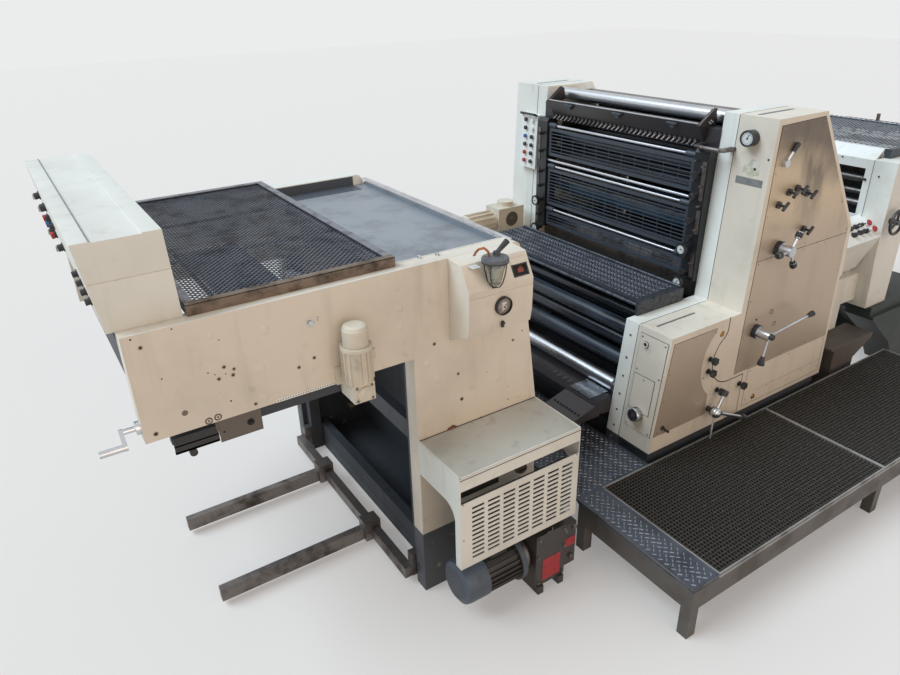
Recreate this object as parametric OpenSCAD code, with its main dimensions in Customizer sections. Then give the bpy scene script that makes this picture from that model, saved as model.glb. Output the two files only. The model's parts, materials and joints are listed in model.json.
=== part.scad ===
// Two-colour sheet-fed offset printing press: delivery at -X, feeder at +X.
// Origin on the floor under the middle of the printing tower, Y towards the drive side.

/* [Printing tower] */
// Clear width between the two side frames of the tower
unit_gap = 1272; // [1150:1:1400]
// Thickness of a tower side frame
frame_t = 83; // [60:1:110]
// Depth of the sheet metal cover outside a side frame
cover_t = 205; // [150:1:260]
// Height of the tower
tower_top = 1848; // [1750:1:1950]
// Front edge of the tower at its top
tower_front = -399; // [-440:1:-380]
// Rear edge of the flat top
tower_back = -37; // [-80:1:20]
// Rear edge of the tower below the slope
tower_rear = 412; // [380:1:460]
// Height where the rear slope ends
slope_z = 1220; // [1150:1:1300]
// Forward lean of the front edge between the lower unit and the top
front_lean = 36; // [0:1:60]
// Thickness of the cover sheets and panels
panel_t = 3; // [2:0.5:6]

/* [Lower unit] */
// Top of the lower unit
unit_top = 930; // [880:1:960]
// Front edge of the lower unit at its top
unit_front = -926; // [-980:1:-880]
// How far the front of the lower unit slopes out to its foot
unit_slope = 72; // [20:1:100]
// Height of the dark plinth
plinth_h = 312; // [280:1:340]
// Setback of the plinth behind the covers
plinth_set = 24; // [10:1:50]
// Radius of the round nose where the tower cover laps the lower unit
nose_r = 149; // [120:1:160]
// Centre of that nose along the machine
nose_x = -452; // [-470:1:-440]
// Centre height of that nose
nose_z = 706; // [690:1:720]
// Upright edge of the tower cover above the nose
nose_neck = -517; // [-530:1:-505]
// Radius of the hollow between that edge and the nose
nose_fillet = 60; // [40:1:75]
// Upright edge of the tower cover below the nose
nose_tail = -330; // [-345:1:-315]
// Distance of the lifting slots from the outer face of the covers
slot_in = 131; // [100:1:150]
// Width of the lifting slots
slot_w = 14; // [8:1:18]
// Joint between two neighbouring covers
cover_gap = 2; // [1:0.5:5]

// Height of the lower unit's door
door_h = 494; // [460:1:510]
// Bottom edge of that door above the plinth, along the slope
door_z = 94; // [85:1:110]

/* [Rollers and cylinders] */
// Radius of the printing cylinders
cyl_r = 130; // [110:1:140]
// Radius of the ink duct roller
duct_r = 34; // [25:1:40]
// Radius of the upper ink drum
drum_r = 72; // [55:1:80]
// Radius of the rider and form rollers
ink_r = 36; // [28:1:40]
// Radius of the roller journals
journal_r = 16; // [12:1:20]
// Running clearance round a journal
run_gap = 1; // [0.5:0.5:2]
// End clearance of a roller against the side frames
roller_end = 22; // [10:1:40]

/* [Guards and footplate] */
// Thickness of the dark cheeks at the ends of the guards
cheek_t = 85; // [60:1:120]
// End clearance of a guard against those cheeks
cheek_gap = 6; // [5:1:12]
// Edge frame bar of a guard
guard_bar = 18; // [12:1:24]
// Wire thickness in the guards
wire_t = 5; // [3:0.5:6]
// Pitch of the guard wires
wire_pitch = 20; // [15:1:40]
// Pitch of the upright wires behind them
wire_pitch_y = 98; // [80:1:150]
// Drop of the upper hinge rod below the tower top
guard_drop = 208; // [195:1:220]
// Step from the upper hinge rod down to the middle one
guard_mid_drop = 242; // [230:1:252]
// Step from the middle hinge rod down to the lower one
guard_low_drop = 270; // [255:1:280]
// Radius of the hinge rods
hinge_r = 9; // [6:1:10]
// Footplate top height
foot_z = 1000; // [980:1:1010]
// Footplate depth along the machine
foot_d = 310; // [250:1:330]
// Footplate thickness
foot_t = 28; // [15:1:40]

/* [Ink ducts] */
// Length of the upper ink duct between its cheeks
duct_w = 1090; // [1000:1:1100]
// Number of ink keys of the upper duct
key_count = 33; // [20:1:36]
// Height of the sheet over the lower ink duct
tray_top = 500; // [480:1:505]
// Reach of that sheet in front of the lower unit
tray_reach = 112; // [90:1:130]
// Width of the key box of the lower duct
keybox_w = 220; // [180:1:240]

/* [Delivery] */
// Outer face of the operator side plate of the delivery
del_op_y = -784; // [-820:1:-760]
// Outer face of the drive side plate of the delivery
del_dr_y = 640; // [600:1:700]
// Thickness of the delivery side plates
del_t = 72; // [50:1:90]
// Free end of the delivery
del_end = -3157; // [-3300:1:-3000]
// Height of the delivery side plates
del_top = 1527; // [1450:1:1600]
// Underside of the overhanging part
beam_z = 1166; // [1100:1:1200]
// Front edge of the pedestal
ped_front = -2205; // [-2300:1:-2150]
// Rear edge of the pedestal at the floor
ped_back = -1600; // [-1650:1:-1560]
// Rear edge of the pedestal at its top
ped_back_top = -1720; // [-1760:1:-1690]
// Height of the dark foot of the pedestal
ped_foot = 320; // [250:1:360]

/* [Delivery console and deck] */
// Height of the console box on the delivery end
console_h = 275; // [240:1:320]
// Depth of the console along the machine at its top
console_d = 243; // [200:1:260]
// Overhang of the console past the free end
console_out = 58; // [30:1:80]
// Set-in of the console from both outer faces
console_in = 54; // [40:1:70]
// Drop of the steel deck below the top of the plates
deck_drop = 50; // [20:1:80]
// Far edge of the deck
deck_end = -1690; // [-1730:1:-1680]
// Depth of the console seams and grooves
groove = 3; // [2:0.5:5]
// Length of the mesh guard over the pile
lid_l = 722; // [650:1:730]
// Height of the angle frame of the mesh guard
lid_bar = 37; // [25:1:45]
// Pitch of the mesh strands
lid_pitch = 128; // [100:1:200]

/* [Pile lift] */
// Height of the fork tops at rest
fork_z = 90; // [85:1:120]
// Length of the forks
fork_l = 720; // [600:1:760]
// Distance between the two forks
fork_gap = 542; // [450:1:600]
// Height of a fork bar
fork_h = 66; // [50:1:75]
// Width of a fork bar
fork_w = 34; // [25:1:45]

/* [Tray and control cabinet] */
// Top of the shelf on the pedestal
tray_z = 797; // [740:1:830]
// Reach of the shelf out of the pedestal
tray_d = 292; // [240:1:320]
// Lower edge of the vented front panel
tray_low = 356; // [345:1:380]
// Upper edge of the vented front panel
grille_top = 676; // [650:1:690]
// Columns of slots in the vented panel
slot_cols = 7; // [5:1:8]
// Rows of slots in the vented panel
slot_rows = 12; // [8:1:14]
// Width of the control cabinet
cab_w = 290; // [240:1:310]
// Depth of the control cabinet
cab_d = 134; // [110:1:150]

/* [Walkway] */
// Height of the walkway
walk_z = 269; // [240:1:300]
// Outer edge of the walkway
walk_out = -1603; // [-1650:1:-1550]
// Length of one mat panel
mat_l = 1224; // [1100:1:1240]
// Joint between the two mat panels
mat_joint = -90; // [-120:1:-60]
// Thickness of the mats and their steel rims
mat_t = 22; // [15:1:30]
// Width of the chequer plate strip ahead of the mats
strip_w = 152; // [120:1:170]
// Width of the steel rims round the mats
rim_w = 8; // [6:1:16]
// Thickness of the chequer plate
plate_t = 6; // [4:0.5:8]

/* [Feeder] */
// Front face of the feeder columns
col_x = 1010; // [980:1:1060]
// Depth of the columns along the machine
col_d = 266; // [220:1:300]
// Outer half width of the feeder
feed_half = 800; // [760:1:830]
// Thickness of a feeder side frame
feed_t = 137; // [100:1:150]
// Height of the feeder frames
feed_top = 1435; // [1400:1:1460]
// Rear end of the feeder
feed_end = 2440; // [2300:1:2600]
// Height of the mesh guard over the feed board
mesh_z = 1488; // [1470:1:1510]
// Length of that mesh guard along the machine
mesh_l = 850; // [800:1:900]
// Run of the sloped front edge below the mesh guard
mesh_run = 85; // [60:1:100]
// Top of the ledge that carries the columns
ledge_z = 520; // [500:1:540]
// Outer face of the dark base beyond the feeder frame
base_out = 50; // [30:1:60]
// Length of the sloped switch console
feed_console_l = 410; // [350:1:440]
// Radius of the feeder handwheel
wheel_r = 80; // [70:1:95]
// Height of the step beside the feeder
step_h = 400; // [380:1:420]

/* [Hidden] */
$fn = 48;
half = unit_gap / 2;
cast_y = half + frame_t;
cover_y = cast_y + cover_t;
tower_low = tower_front - front_lean;
unit_foot = unit_front - unit_slope;
del_mid = (del_op_y + del_dr_y) / 2;
del_in_op = del_op_y + del_t;
del_in_dr = del_dr_y - del_t;
lid_back = del_end + 197 + lid_l;
guard_x = tower_front - 44;
foot_back = guard_x - 100;
foot_front = foot_back - foot_d;
cheek_y = half - cheek_t;
guard_w = 2 * (cheek_y - cheek_gap);
console_y0 = del_op_y + console_in;
console_y1 = del_dr_y - console_in;
console_x0 = del_end - console_out;
fork_root = ped_front - 55;
ped_front_in = ped_front + 25;
mat_in = -cover_y - 11;
fit = 0.3;
nose_hollow_x = nose_neck - nose_fillet;
nose_hollow_z = nose_z + sqrt(pow(nose_r + nose_fillet, 2) - pow(nose_hollow_x - nose_x, 2));
duct_half = duct_w / 2;
feed_in = feed_half - feed_t;
feed_lap = 56;
ledge_h = 56;
cab_x0 = -2046;
cab_y1 = del_op_y - 83;
cab_y2 = del_op_y - cab_d;
cab_z1 = del_top - 5;
cab_z2 = del_top - 97;
lean_door = atan(unit_slope / (unit_top - plinth_h));
lean_console = atan(34 / console_h);
motor_at = [-2462, del_op_y - 66];
motor_z = beam_z + 27;
pump_y = del_op_y - 190;
pump_x = mat_joint - mat_l - strip_w - 706;
unit_panel_x = nose_x - nose_r - 6;
guard_top_z = tower_top - guard_drop;
guard_mid_z = guard_top_z - guard_mid_drop;
guard_low_z = guard_mid_z - guard_low_drop;
lean_cab = atan(3 / (cab_z2 - del_top + 225));
handwheel_at = [col_x + 65, 1088];

// A block between two corners
module block(x0, x1, y0, y1, z0, z1) {
    translate([x0, y0, z0]) cube([x1 - x0, y1 - y0, z1 - z0]);
}

// A plate that stands in the XZ plane, from y0 to y1
module plate_y(y0, y1) {
    translate([0, y1, 0]) rotate([90, 0, 0]) linear_extrude(y1 - y0) children();
}

// A plate that stands in the YZ plane, from x0 to x1; its outline is [y, z]
module plate_x(x0, x1) {
    translate([x0, 0, 0]) rotate([90, 0, 90]) linear_extrude(x1 - x0) children();
}

module rod_x(x0, x1, y, z, r) {
    translate([x0, y, z]) rotate([0, 90, 0]) cylinder(h = x1 - x0, r = r);
}

module rod_y(y0, y1, x, z, r) {
    translate([x, y1, z]) rotate([90, 0, 0]) cylinder(h = y1 - y0, r = r);
}

module rod_z(z0, z1, x, y, r) {
    translate([x, y, z0]) cylinder(h = z1 - z0, r = r);
}

// A dark knob with five hollows round its rim, on a stem, that stands out of a face at y
module star_knob(at, y) {
    rod_y(y - 8, y - fit, at[0], at[1], 13);
    rod_y(y - 26, y - 7, at[0], at[1], 6);
    plate_y(y - 42, y - 25) translate(at) difference() {
        circle(r = 20);
        for (a = [0:72:359]) rotate(a) translate([23, 0]) circle(r = 7);
    }
}

// A collar with a cross bar to turn it
module tee_knob(at, y) {
    rod_y(y - 12, y - fit, at[0], at[1], 17);
    rod_y(y - 38, y - 11, at[0], at[1], 6);
    translate([at[0], y - 41, at[1]]) rotate([0, 50, 0])
        translate([0, 0, -24]) cylinder(h = 48, r = 8);
}

// A round bezel with a sunk face
module bezel(r, h) {
    difference() {
        cylinder(h = h, r = r);
        translate([0, 0, h - 5]) cylinder(h = 6, r = r - 5);
    }
}

// A push button with its collar, along its own z axis
module button(r, h) {
    cylinder(h = 4, r = r + 4);
    cylinder(h = h, r = r);
}

// Front face of the leaning tower front at a height
function front_x(z) =
    tower_low + (z - unit_top) * (tower_front - tower_low) / (tower_top - unit_top);

// Sloping face of the control cabinet at a height
function cab_face_y(z) = cab_y1 - (cab_z1 - z) * (cab_y1 - cab_y2) / (cab_z1 - cab_z2);

// Places of the turning rollers, as [x, z]
duct_at = [tower_front + 109, tower_top - 42];
drum_at = [guard_x + 190, guard_low_z + 140];
lever_at = [tower_front + 78, tower_top - 198];
low_at = [unit_foot + 62, 548];

// Outline of the tower above the lower unit
module tower_outline(low) {
    polygon([
        [tower_low, low], [tower_front, tower_top], [tower_back, tower_top],
        [tower_rear - 10, slope_z], [tower_rear + 14, low]
    ]);
}

// Outline of the whole side of the printing unit
module unit_outline(low) {
    polygon([
        [unit_foot, low], [unit_foot, plinth_h], [unit_front, unit_top],
        [tower_low, unit_top], [tower_front, tower_top], [tower_back, tower_top],
        [tower_rear - 10, slope_z], [tower_rear + 14, low]
    ]);
}

// The nose of the tower cover that laps the lower unit
module nose_outline(grow) {
    translate([nose_x, nose_z]) circle(r = nose_r + grow);
    translate([nose_neck - grow, nose_z]) square([tower_rear - nose_neck, unit_top - nose_z]);
    translate([nose_x, nose_z - nose_r - grow + 1])
        square([tower_rear - nose_x, nose_r + grow]);
    difference() {
        polygon([
            [nose_x, nose_hollow_z], [nose_hollow_x, nose_hollow_z], [nose_x, nose_z]
        ]);
        translate([nose_hollow_x, nose_hollow_z]) circle(r = nose_fillet - grow - 1);
    }
}

module base_plinth() {
    color("#3c454c") {
        for (side = [0, 1]) mirror([0, side, 0])
            block(unit_foot + plinth_set, tower_rear, -cover_y + plinth_set, -cast_y - fit, 0,
                  plinth_h - fit);
        block(unit_foot + 60, tower_rear, -half + fit, half - fit, 0, plinth_h);
        block(ped_front_in + 62, ped_back - 60, del_in_op + fit, del_in_dr - fit, 0, 60);
        block(ped_back - 60, unit_foot - fit, del_in_op + fit, del_in_dr - fit, 0,
              walk_z - plate_t - fit);
    }
}

module side_frame(y0, y1) {
    difference() {
        plate_y(y0, y1) unit_outline(0);
        rod_y(y0 - 1, y1 + 1, duct_at[0], duct_at[1], journal_r + run_gap);
        rod_y(y0 - 1, y1 + 1, drum_at[0], drum_at[1], journal_r + run_gap);
        rod_y(y0 - 1, y1 + 1, low_at[0], low_at[1], journal_r + run_gap);
    }
}

module side_frame_operator() {
    color("#d9d3c4") side_frame(-cast_y, -half);
}

module side_frame_drive() {
    color("#d9d3c4") side_frame(half, cast_y);
}

module tower_cover() {
    difference() {
        plate_y(-cover_y, -cast_y - fit) {
            tower_outline(unit_top);
            intersection() {
                unit_outline(plinth_h);
                union() {
                    nose_outline(0);
                    translate([nose_tail, plinth_h])
                        square([tower_rear + 50 - nose_tail, unit_top - plinth_h]);
                }
            }
        }
        block(tower_front + 40, tower_back - 51, -cover_y + slot_in,
              -cover_y + slot_in + slot_w, tower_top - 15, tower_top + 1);
    }
}

module tower_cover_operator() {
    color("#d8cfbf") tower_cover();
}

module tower_cover_drive() {
    color("#d8cfbf") mirror([0, 1, 0]) tower_cover();
}

module unit_cover() {
    difference() {
        plate_y(-cover_y, -cast_y - fit) difference() {
            polygon([
                [unit_foot, plinth_h], [unit_front, unit_top],
                [nose_tail - cover_gap, unit_top], [nose_tail - cover_gap, plinth_h]
            ]);
            nose_outline(cover_gap);
        }
        block(unit_front + 46, unit_front + 318, -cover_y + slot_in,
              -cover_y + slot_in + slot_w, unit_top - 15, unit_top + 1);
    }
}

module unit_cover_operator() {
    color("#d8cfbf") unit_cover();
}

module unit_cover_drive() {
    color("#d8cfbf") mirror([0, 1, 0]) unit_cover();
}

// The bare metal panels screwed on the operator side
module brushed_panels() {
    panel_z = 1191;
    color("#b3a592") plate_y(-cover_y - panel_t, -cover_y) {
        polygon([
            [tower_front + 14, panel_z], [tower_front + 24, tower_top - 30],
            [tower_back - 13, tower_top - 22], [tower_rear - 42, slope_z + 6],
            [tower_rear - 42, panel_z]
        ]);
        polygon([
            [tower_low + 26, 578], [tower_front + 13, panel_z - 5],
            [tower_rear - 42, panel_z - 5], [tower_rear - 16, 578]
        ]);
        difference() {
            polygon([
                [unit_front + 19, unit_top - 33], [unit_panel_x, unit_top - 33],
                [unit_panel_x, 412], [unit_foot + 20, 412]
            ]);
            translate([nose_x, nose_z]) circle(r = nose_r + 86);
        }
    }
}

// Hinge rods of the guards, handle bars and the cross shafts between the side frames
module tie_bars() {
    color("#c8ccd0") {
        for (z = [guard_top_z, guard_mid_z, guard_low_z])
            rod_y(-cheek_y + fit, cheek_y - fit, guard_x, z, hinge_r - run_gap);
        rod_y(-cheek_y + fit, cheek_y - fit, guard_x - 4, guard_mid_z + 34, 8);
        for (at = [[col_x + 70, feed_top - 285], [col_x + 90, feed_top - 220],
                   [col_x + 70, feed_top - 135], [col_x + 130, feed_top - 95]])
            rod_y(-feed_in + fit, feed_in - fit, at[0], at[1], 16);
    }
}

// Black cheeks between the guards and the side frames, with the hinge pins of the guards
module guard_cheeks() {
    color("#202326")
        for (side = [0, 1]) mirror([0, side, 0]) {
            plate_y(-half, -cheek_y) polygon([
                [guard_x - 22, foot_z + 12], [guard_x - 22, tower_top - 190],
                [guard_x - 10, tower_top - 170], [guard_x + 60, tower_top - 170],
                [guard_x + 60, foot_z + 12]
            ]);
            for (z = [foot_z + 5, guard_low_z + 54]) {
                rod_x(guard_x - 60, guard_x - 21, -cheek_y - 28, z, 14);
                translate([guard_x - 58, -cheek_y - 28, z]) rotate([0, -90, 0]) bezel(29, 22);
            }
        }
}

module press_cylinders() {
    color("#4a4f54") {
        for (at = [[tower_front + 339, unit_top - 370], [tower_front + 459, unit_top - 30],
                   [guard_x + 193, guard_low_z - 168]])
            difference() {
                union() {
                    rod_y(-half, half, at[0], at[1], cyl_r);
                    rod_y(-half, -half + 40, at[0], at[1], cyl_r + 3);
                    rod_y(half - 40, half, at[0], at[1], cyl_r + 3);
                }
                translate([at[0], 0, at[1]]) rotate([0, 65, 0])
                    block(-38, 38, -half + 60, half - 60, cyl_r - 26, cyl_r + 5);
            }
    }
}

module ink_rollers() {
    color("#23282d") {
        for (at = [[guard_x + 120, guard_top_z - 80], [guard_x + 205, guard_top_z - 30],
                   [guard_x + 110, guard_mid_z + 57], [guard_x + 205, guard_mid_z + 82],
                   [guard_x + 105, guard_mid_z - 53], [guard_x + 108, guard_low_z + 2],
                   [foot_front + 75, foot_z - 110], [foot_front - 5, foot_z - 160],
                   [foot_front + 90, foot_z - 200], [foot_front + 10, foot_z - 240],
                   [foot_front - 26, foot_z - 325], [foot_front + 70, foot_z - 300],
                   [foot_front + 40, foot_z - 400]])
            rod_y(-half, half, at[0], at[1], ink_r);
    }
}

module ink_ducts() {
    lip = [guard_x - 20, tower_top - 65];
    foot = [guard_x + 37, tower_top - 176];
    tilt = atan((foot[0] - lip[0]) / (lip[1] - foot[1]));
    color("#9a9da0") {
        plate_y(-duct_half - 6 + fit, duct_half + 6 - fit) polygon([
            lip, [lip[0] + 2, lip[1] + 5], [duct_at[0] - duct_r - 6, duct_at[1] - 36],
            [duct_at[0] - duct_r - 6, duct_at[1] - 46], [guard_x + 60, foot[1] - 4], foot
        ]);
        for (i = [0 : key_count - 1])
            translate([foot[0] - 12, (i + 0.5 - key_count / 2) * duct_w / (key_count + 1),
                       foot[1] + 22])
                rotate([0, tilt - 90, 0]) cylinder(h = 15, r = 6, $fn = 16);
        for (side = [0, 1]) mirror([0, side, 0]) {
            plate_y(-half + fit, -duct_half - 6 + fit) polygon([
                [guard_x + 33, tower_top - 169], [guard_x + 33, tower_top - 80],
                [duct_at[0] - duct_r - 2, tower_top - 80],
                [duct_at[0] - duct_r - 2, tower_top - 169]
            ]);
            plate_y(-duct_half - 10, -duct_half + 5) polygon([
                [lip[0] - 5, lip[1] - 5], [tower_front + 29, tower_top + 1 - fit],
                [tower_front + 47, tower_top - 4], [tower_front + 60, tower_top - 66],
                [tower_front + 4, tower_top - 82]
            ]);
        }
        block(duct_at[0] + duct_r + 20, tower_back - 4, -half + fit, half - fit,
              tower_top - 48, tower_top - 42);
        plate_y(-half + fit, half - fit) polygon([
            [unit_foot - tray_reach - 3, tray_top - 12], [unit_foot - tray_reach, tray_top],
            [unit_foot - 4, tray_top + 4], [unit_foot + 52, tray_top - 2],
            [unit_foot + 52, tray_top - 80], [unit_foot - 20, tray_top - 84],
            [unit_foot - tray_reach + 30, tray_top - 66]
        ]);
        plate_y(-half - 19, -half - 19 + keybox_w) polygon([
            [unit_foot - tray_reach - 3, tray_top - 1],
            [unit_foot - tray_reach - 160, tray_top - 46],
            [unit_foot - tray_reach - 154, tray_top - 66],
            [unit_foot - tray_reach + 34, tray_top - 67]
        ]);
        for (i = [0:8])
            translate([unit_foot - tray_reach - 92, -half + 2 + i * 22, tray_top - 34])
                rotate([0, -16, 0]) cylinder(h = 16, r = 5, $fn = 16);
    }
}

module footplate() {
    color("#4b4d51") {
        block(foot_front, foot_back, -half - 14, half + 14, foot_z - foot_t, foot_z);
        for (side = [0, 1]) mirror([0, side, 0])
            block(foot_front - 18, foot_back, -half - 14, -half, unit_top + fit, foot_z);
        rod_y(-half + 1, half - 1, foot_back - 12, foot_z + 6, 8);
        rod_y(-half + 1, half - 1, foot_front - 8, foot_z - 18, 9);
    }
}

module tower_fittings() {
    out = -cover_y - panel_t;
    rail_x = tower_front - 85;
    rail_z = tower_top - 158;
    color("#26282a") {
        for (at = [[-239, 1503], [-176, 1511], [-91, 1475], [-305, 1453], [-58, 1290]])
            tee_knob(at, out);
        for (at = [[-630, 737], [-631, 670], [-537, 533], [-353, 507]])
            star_knob(at, -cover_y);
        translate([-588, -cover_y - fit, 440]) rotate([90, 0, 0]) rotate_extrude()
            polygon([[0, 0], [14, 0], [14, 26], [26, 34], [26, 64], [16, 76], [0, 76]]);
        for (end = [[-539, 536], [-348, 325]]) {
            dx = end[0] + 588;
            dz = end[1] - 440;
            l = norm([dx, dz]);
            translate([-588, -cover_y - 52, 440]) rotate([0, 90 - atan2(dz, dx), 0]) {
                translate([0, 0, 16]) cylinder(h = l - 16, r = 8);
                translate([0, 0, l - 14]) cylinder(h = 30, r = 17);
            }
        }
        translate([tower_front - 6, -807, tower_top - 93]) rotate([0, -90, 0]) bezel(36, 44);
        for (y = [-560, -705])
            rod_x(rail_x, y == -560 ? guard_x + 33 - fit : tower_front - 7, y, rail_z, 9);
        rod_y(-705, -560, rail_x, rail_z, 9);
    }
}

module drive_gearmotor() {
    color("#b9b9b2") {
        rod_x(-930, -905, 784, 1040, 60);
        rod_x(-905, -700, 784, 1040, 54);
        for (a = [0:30:359])
            translate([0, 784, 1040]) rotate([a, 0, 0]) block(-900, -715, -2, 2, 50, 66);
        block(-850, -760, 820, 852, 990, 1085);
        block(-700, -500, 714, 854, unit_top + 40, 1120);
        block(-660, -520, 724, 844, unit_top + fit, unit_top + 40);
        rod_z(1118, 1150, -600, 784, 52);
    }
}

module remote_panel() {
    y0 = half + 36;
    top_z = tower_top - 171;
    low_z = top_z - 326;
    deep = 33;
    color("#e6e7e3") {
        plate_y(y0, y0 + 155) polygon([
            [front_x(low_z) - deep, low_z], [front_x(top_z) - deep, top_z],
            [front_x(top_z) - fit, top_z], [front_x(low_z) - fit, low_z]
        ]);
        for (i = [0:5], y = [y0 + 40, y0 + 102])
            translate([front_x(low_z + 44 + i * 50) - deep + 1, y, low_z + 44 + i * 50])
                rotate([0, -90, 0]) button(12, 16);
    }
}

module delivery_outline(z0) {
    top_r = 30;
    polygon([
        [del_end, beam_z], [ped_front, beam_z], [ped_front, z0], [ped_back, z0],
        [ped_back - 15, tray_z], [ped_back_top + 12, del_top - top_r],
        [ped_back_top - top_r, del_top], [del_end, del_top]
    ]);
    translate([ped_back_top - top_r + 6, del_top - top_r]) circle(r = top_r);
}

module delivery_frame_operator() {
    color("#d9cfbd") plate_y(del_op_y, del_in_op) delivery_outline(0);
}

module delivery_frame_drive() {
    color("#d9cfbd") plate_y(del_in_dr, del_dr_y) delivery_outline(0);
}

module delivery_cross_members() {
    color("#3b4650") {
        block(del_end + 30, del_end + 90, del_in_op + fit, del_in_dr - fit, beam_z + 34,
              beam_z + 164);
        block(ped_front + 120, ped_front + 180, del_in_op + fit, del_in_dr - fit, beam_z + 74,
              beam_z + 234);
        block(del_end + 84, ped_front - 250, del_in_op + 12, del_in_op + 44, beam_z - 86,
              beam_z - 54);
        block(del_end + 84, del_end + 96, del_in_op + 12, del_in_op + 44, beam_z - 56,
              beam_z + 44);
        block(del_end + 235, del_end + 370, del_in_op + fit, del_in_op + 13, beam_z - 104,
              beam_z + 11);
        for (x = [del_end + 445, del_end + 700])
            rod_y(del_in_op + fit, del_in_dr - fit, x, beam_z + 120, 13);
        block(del_end + 455, del_end + 725, del_mid + 5, del_in_dr - 25, beam_z + 131,
              beam_z + 135);
        for (y0 = [del_in_op + fit, del_in_dr - 60 - fit])
            block(ped_front_in, ped_front_in + 60, y0, y0 + 60, 0, beam_z);
        for (z0 = [64, 640])
            block(ped_front_in + 64, ped_front_in + 110, del_in_op + fit, del_in_dr - fit, z0,
                  z0 + 90);
        block(ped_back - 210, ped_back - 204, del_in_op + fit, del_in_dr - fit, 60 + fit,
              del_top - deck_drop - 150);
    }
}

module delivery_deck() {
    z = del_top - deck_drop;
    color("#a9b4bd") {
        block(lid_back + 8, deck_end, del_in_op + fit, del_in_dr - fit, z - 4, z);
        block(deck_end - 14, deck_end, del_in_op + fit, del_in_dr - fit, z - 1, z + 12);
        block(deck_end - 3, deck_end, del_in_op + fit, del_in_dr - fit, z - 60, z);
        block(lid_back + 8, lid_back + 14, del_in_op + fit, del_in_dr - fit, z - 1, z + 30);
    }
}

module console() {
    x1 = console_x0 + console_d;
    z1 = del_top + console_h;
    seam_z = del_top + 153;
    color("#e4e0d4") difference() {
        union() {
            plate_y(console_y0, console_y1) polygon([
                [console_x0 + 34, del_top + fit], [console_x0, z1 - 3], [x1, z1 - 3],
                [x1 + 8, del_top + fit]
            ]);
            block(console_x0 + 0.4, console_x0 + 52, console_y0, console_y1, z1 - 4, z1);
            block(x1 - 55, x1, console_y0, console_y1, z1 - 4, z1);
        }
        block(console_x0 - 1, x1 + 10, console_y0 - 1, console_y0 + groove, seam_z, seam_z + 3);
        block(console_x0 - 1, x1 + 10, console_y1 - groove, console_y1 + 1, seam_z,
              seam_z + 3);
    }
}

module console_buttons() {
    function face_x(z) = console_x0 + (del_top + console_h - z) * 34 / console_h;
    color("#2a2a2c") {
        for (at = [[392, 1699], [198, 1694], [448, 1594], [294, 1608], [389, 1551], [359, 1543],
                   [-15, 1595]])
            translate([face_x(at[1]) - fit, at[0], at[1]]) rotate([0, -90 - lean_console, 0])
                button(13, 20);
        for (at = [[392, 1655], [198, 1650], [120, 1640], [-466, 1636], [-540, 1630],
                   [-610, 1624], [-680, 1618]])
            translate([face_x(at[1]) - fit, at[0], at[1]]) rotate([0, -90 - lean_console, 0])
                button(10, 17);
    }
}

module lift_motor() {
    color("#e0d8ca") {
        translate([motor_at[0], motor_at[1], motor_z + 136]) rotate_extrude()
            polygon([[0, 0], [44, 0], [44, 62], [39, 74], [28, 79], [0, 79]]);
        rod_z(motor_z, motor_z + 137, motor_at[0], motor_at[1], 48);
        rod_z(motor_z + 127, motor_z + 138, motor_at[0], motor_at[1], 55);
        for (a = [0:24:359])
            translate([motor_at[0], motor_at[1], 0]) rotate([0, 0, a])
                block(44, 55, -2, 2, motor_z + 7, motor_z + 129);
        block(motor_at[0] - 40, motor_at[0] + 40, motor_at[1] - 40, del_op_y - fit, motor_z - 66,
              motor_z + 3);
        block(motor_at[0] - 60, motor_at[0] + 60, del_op_y - 14, del_op_y - fit, motor_z - 25,
              motor_z + 40);
        rod_y(motor_at[1] - 48, motor_at[1] - 35, motor_at[0], motor_z - 34, 27);
    }
}

module control_cabinet() {
    rake = atan2(cab_z1 - cab_z2, cab_y1 - cab_y2);
    color("#ddd5c6") difference() {
        plate_x(cab_x0, cab_x0 + cab_w) polygon([
            [del_op_y - fit, del_top], [cab_y1, cab_z1], [cab_y2, cab_z2],
            [cab_y2 + 3, del_top - 225], [cab_y2 + 12, del_top - 275], [del_op_y - fit, del_top - 330]
        ]);
        translate([cab_x0 + cab_w - 84, cab_y2, cab_z2]) rotate([rake, 0, 0])
            block(0, 70, 16, 88, -8, 20);
        block(cab_x0 - 1, cab_x0 + cab_w + 1, cab_y2 - 1, cab_y2 + groove, cab_z2 - 26,
              cab_z2 - 23);
    }
}

module cabinet_fittings() {
    bowl_x = cab_x0 + 101;
    bowl_y = cab_y2 - 16;
    color("#70757a") {
        translate([cab_x0 + 149, cab_y2 + 1.8 - fit, 1352]) rotate([90 + lean_cab, 0, 0])
            bezel(36, 16);
        block(cab_x0 + 138, cab_x0 + 150, cab_y2 - 14, cab_y2 + 5.9 - fit, 1264, 1286);
        translate([bowl_x, bowl_y, 1450]) rotate_extrude()
            polygon([[0, 0], [15, 0], [23, 10], [41, 91], [0, 91]]);
        rod_z(1540, 1556, bowl_x, bowl_y, 49);
        plate_x(bowl_x - 10, bowl_x + 10) polygon([
            [bowl_y + 20, 1500], [cab_face_y(1500) - fit, 1500], [cab_face_y(1518) - fit, 1518],
            [bowl_y + 20, 1518]
        ]);
        rod_z(1555, 1572, bowl_x + 6, bowl_y, 12);
        translate([bowl_x + 6, bowl_y, 1566]) rotate([0, 62, 12]) cylinder(h = 62, r1 = 8, r2 = 11);
    }
}

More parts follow.
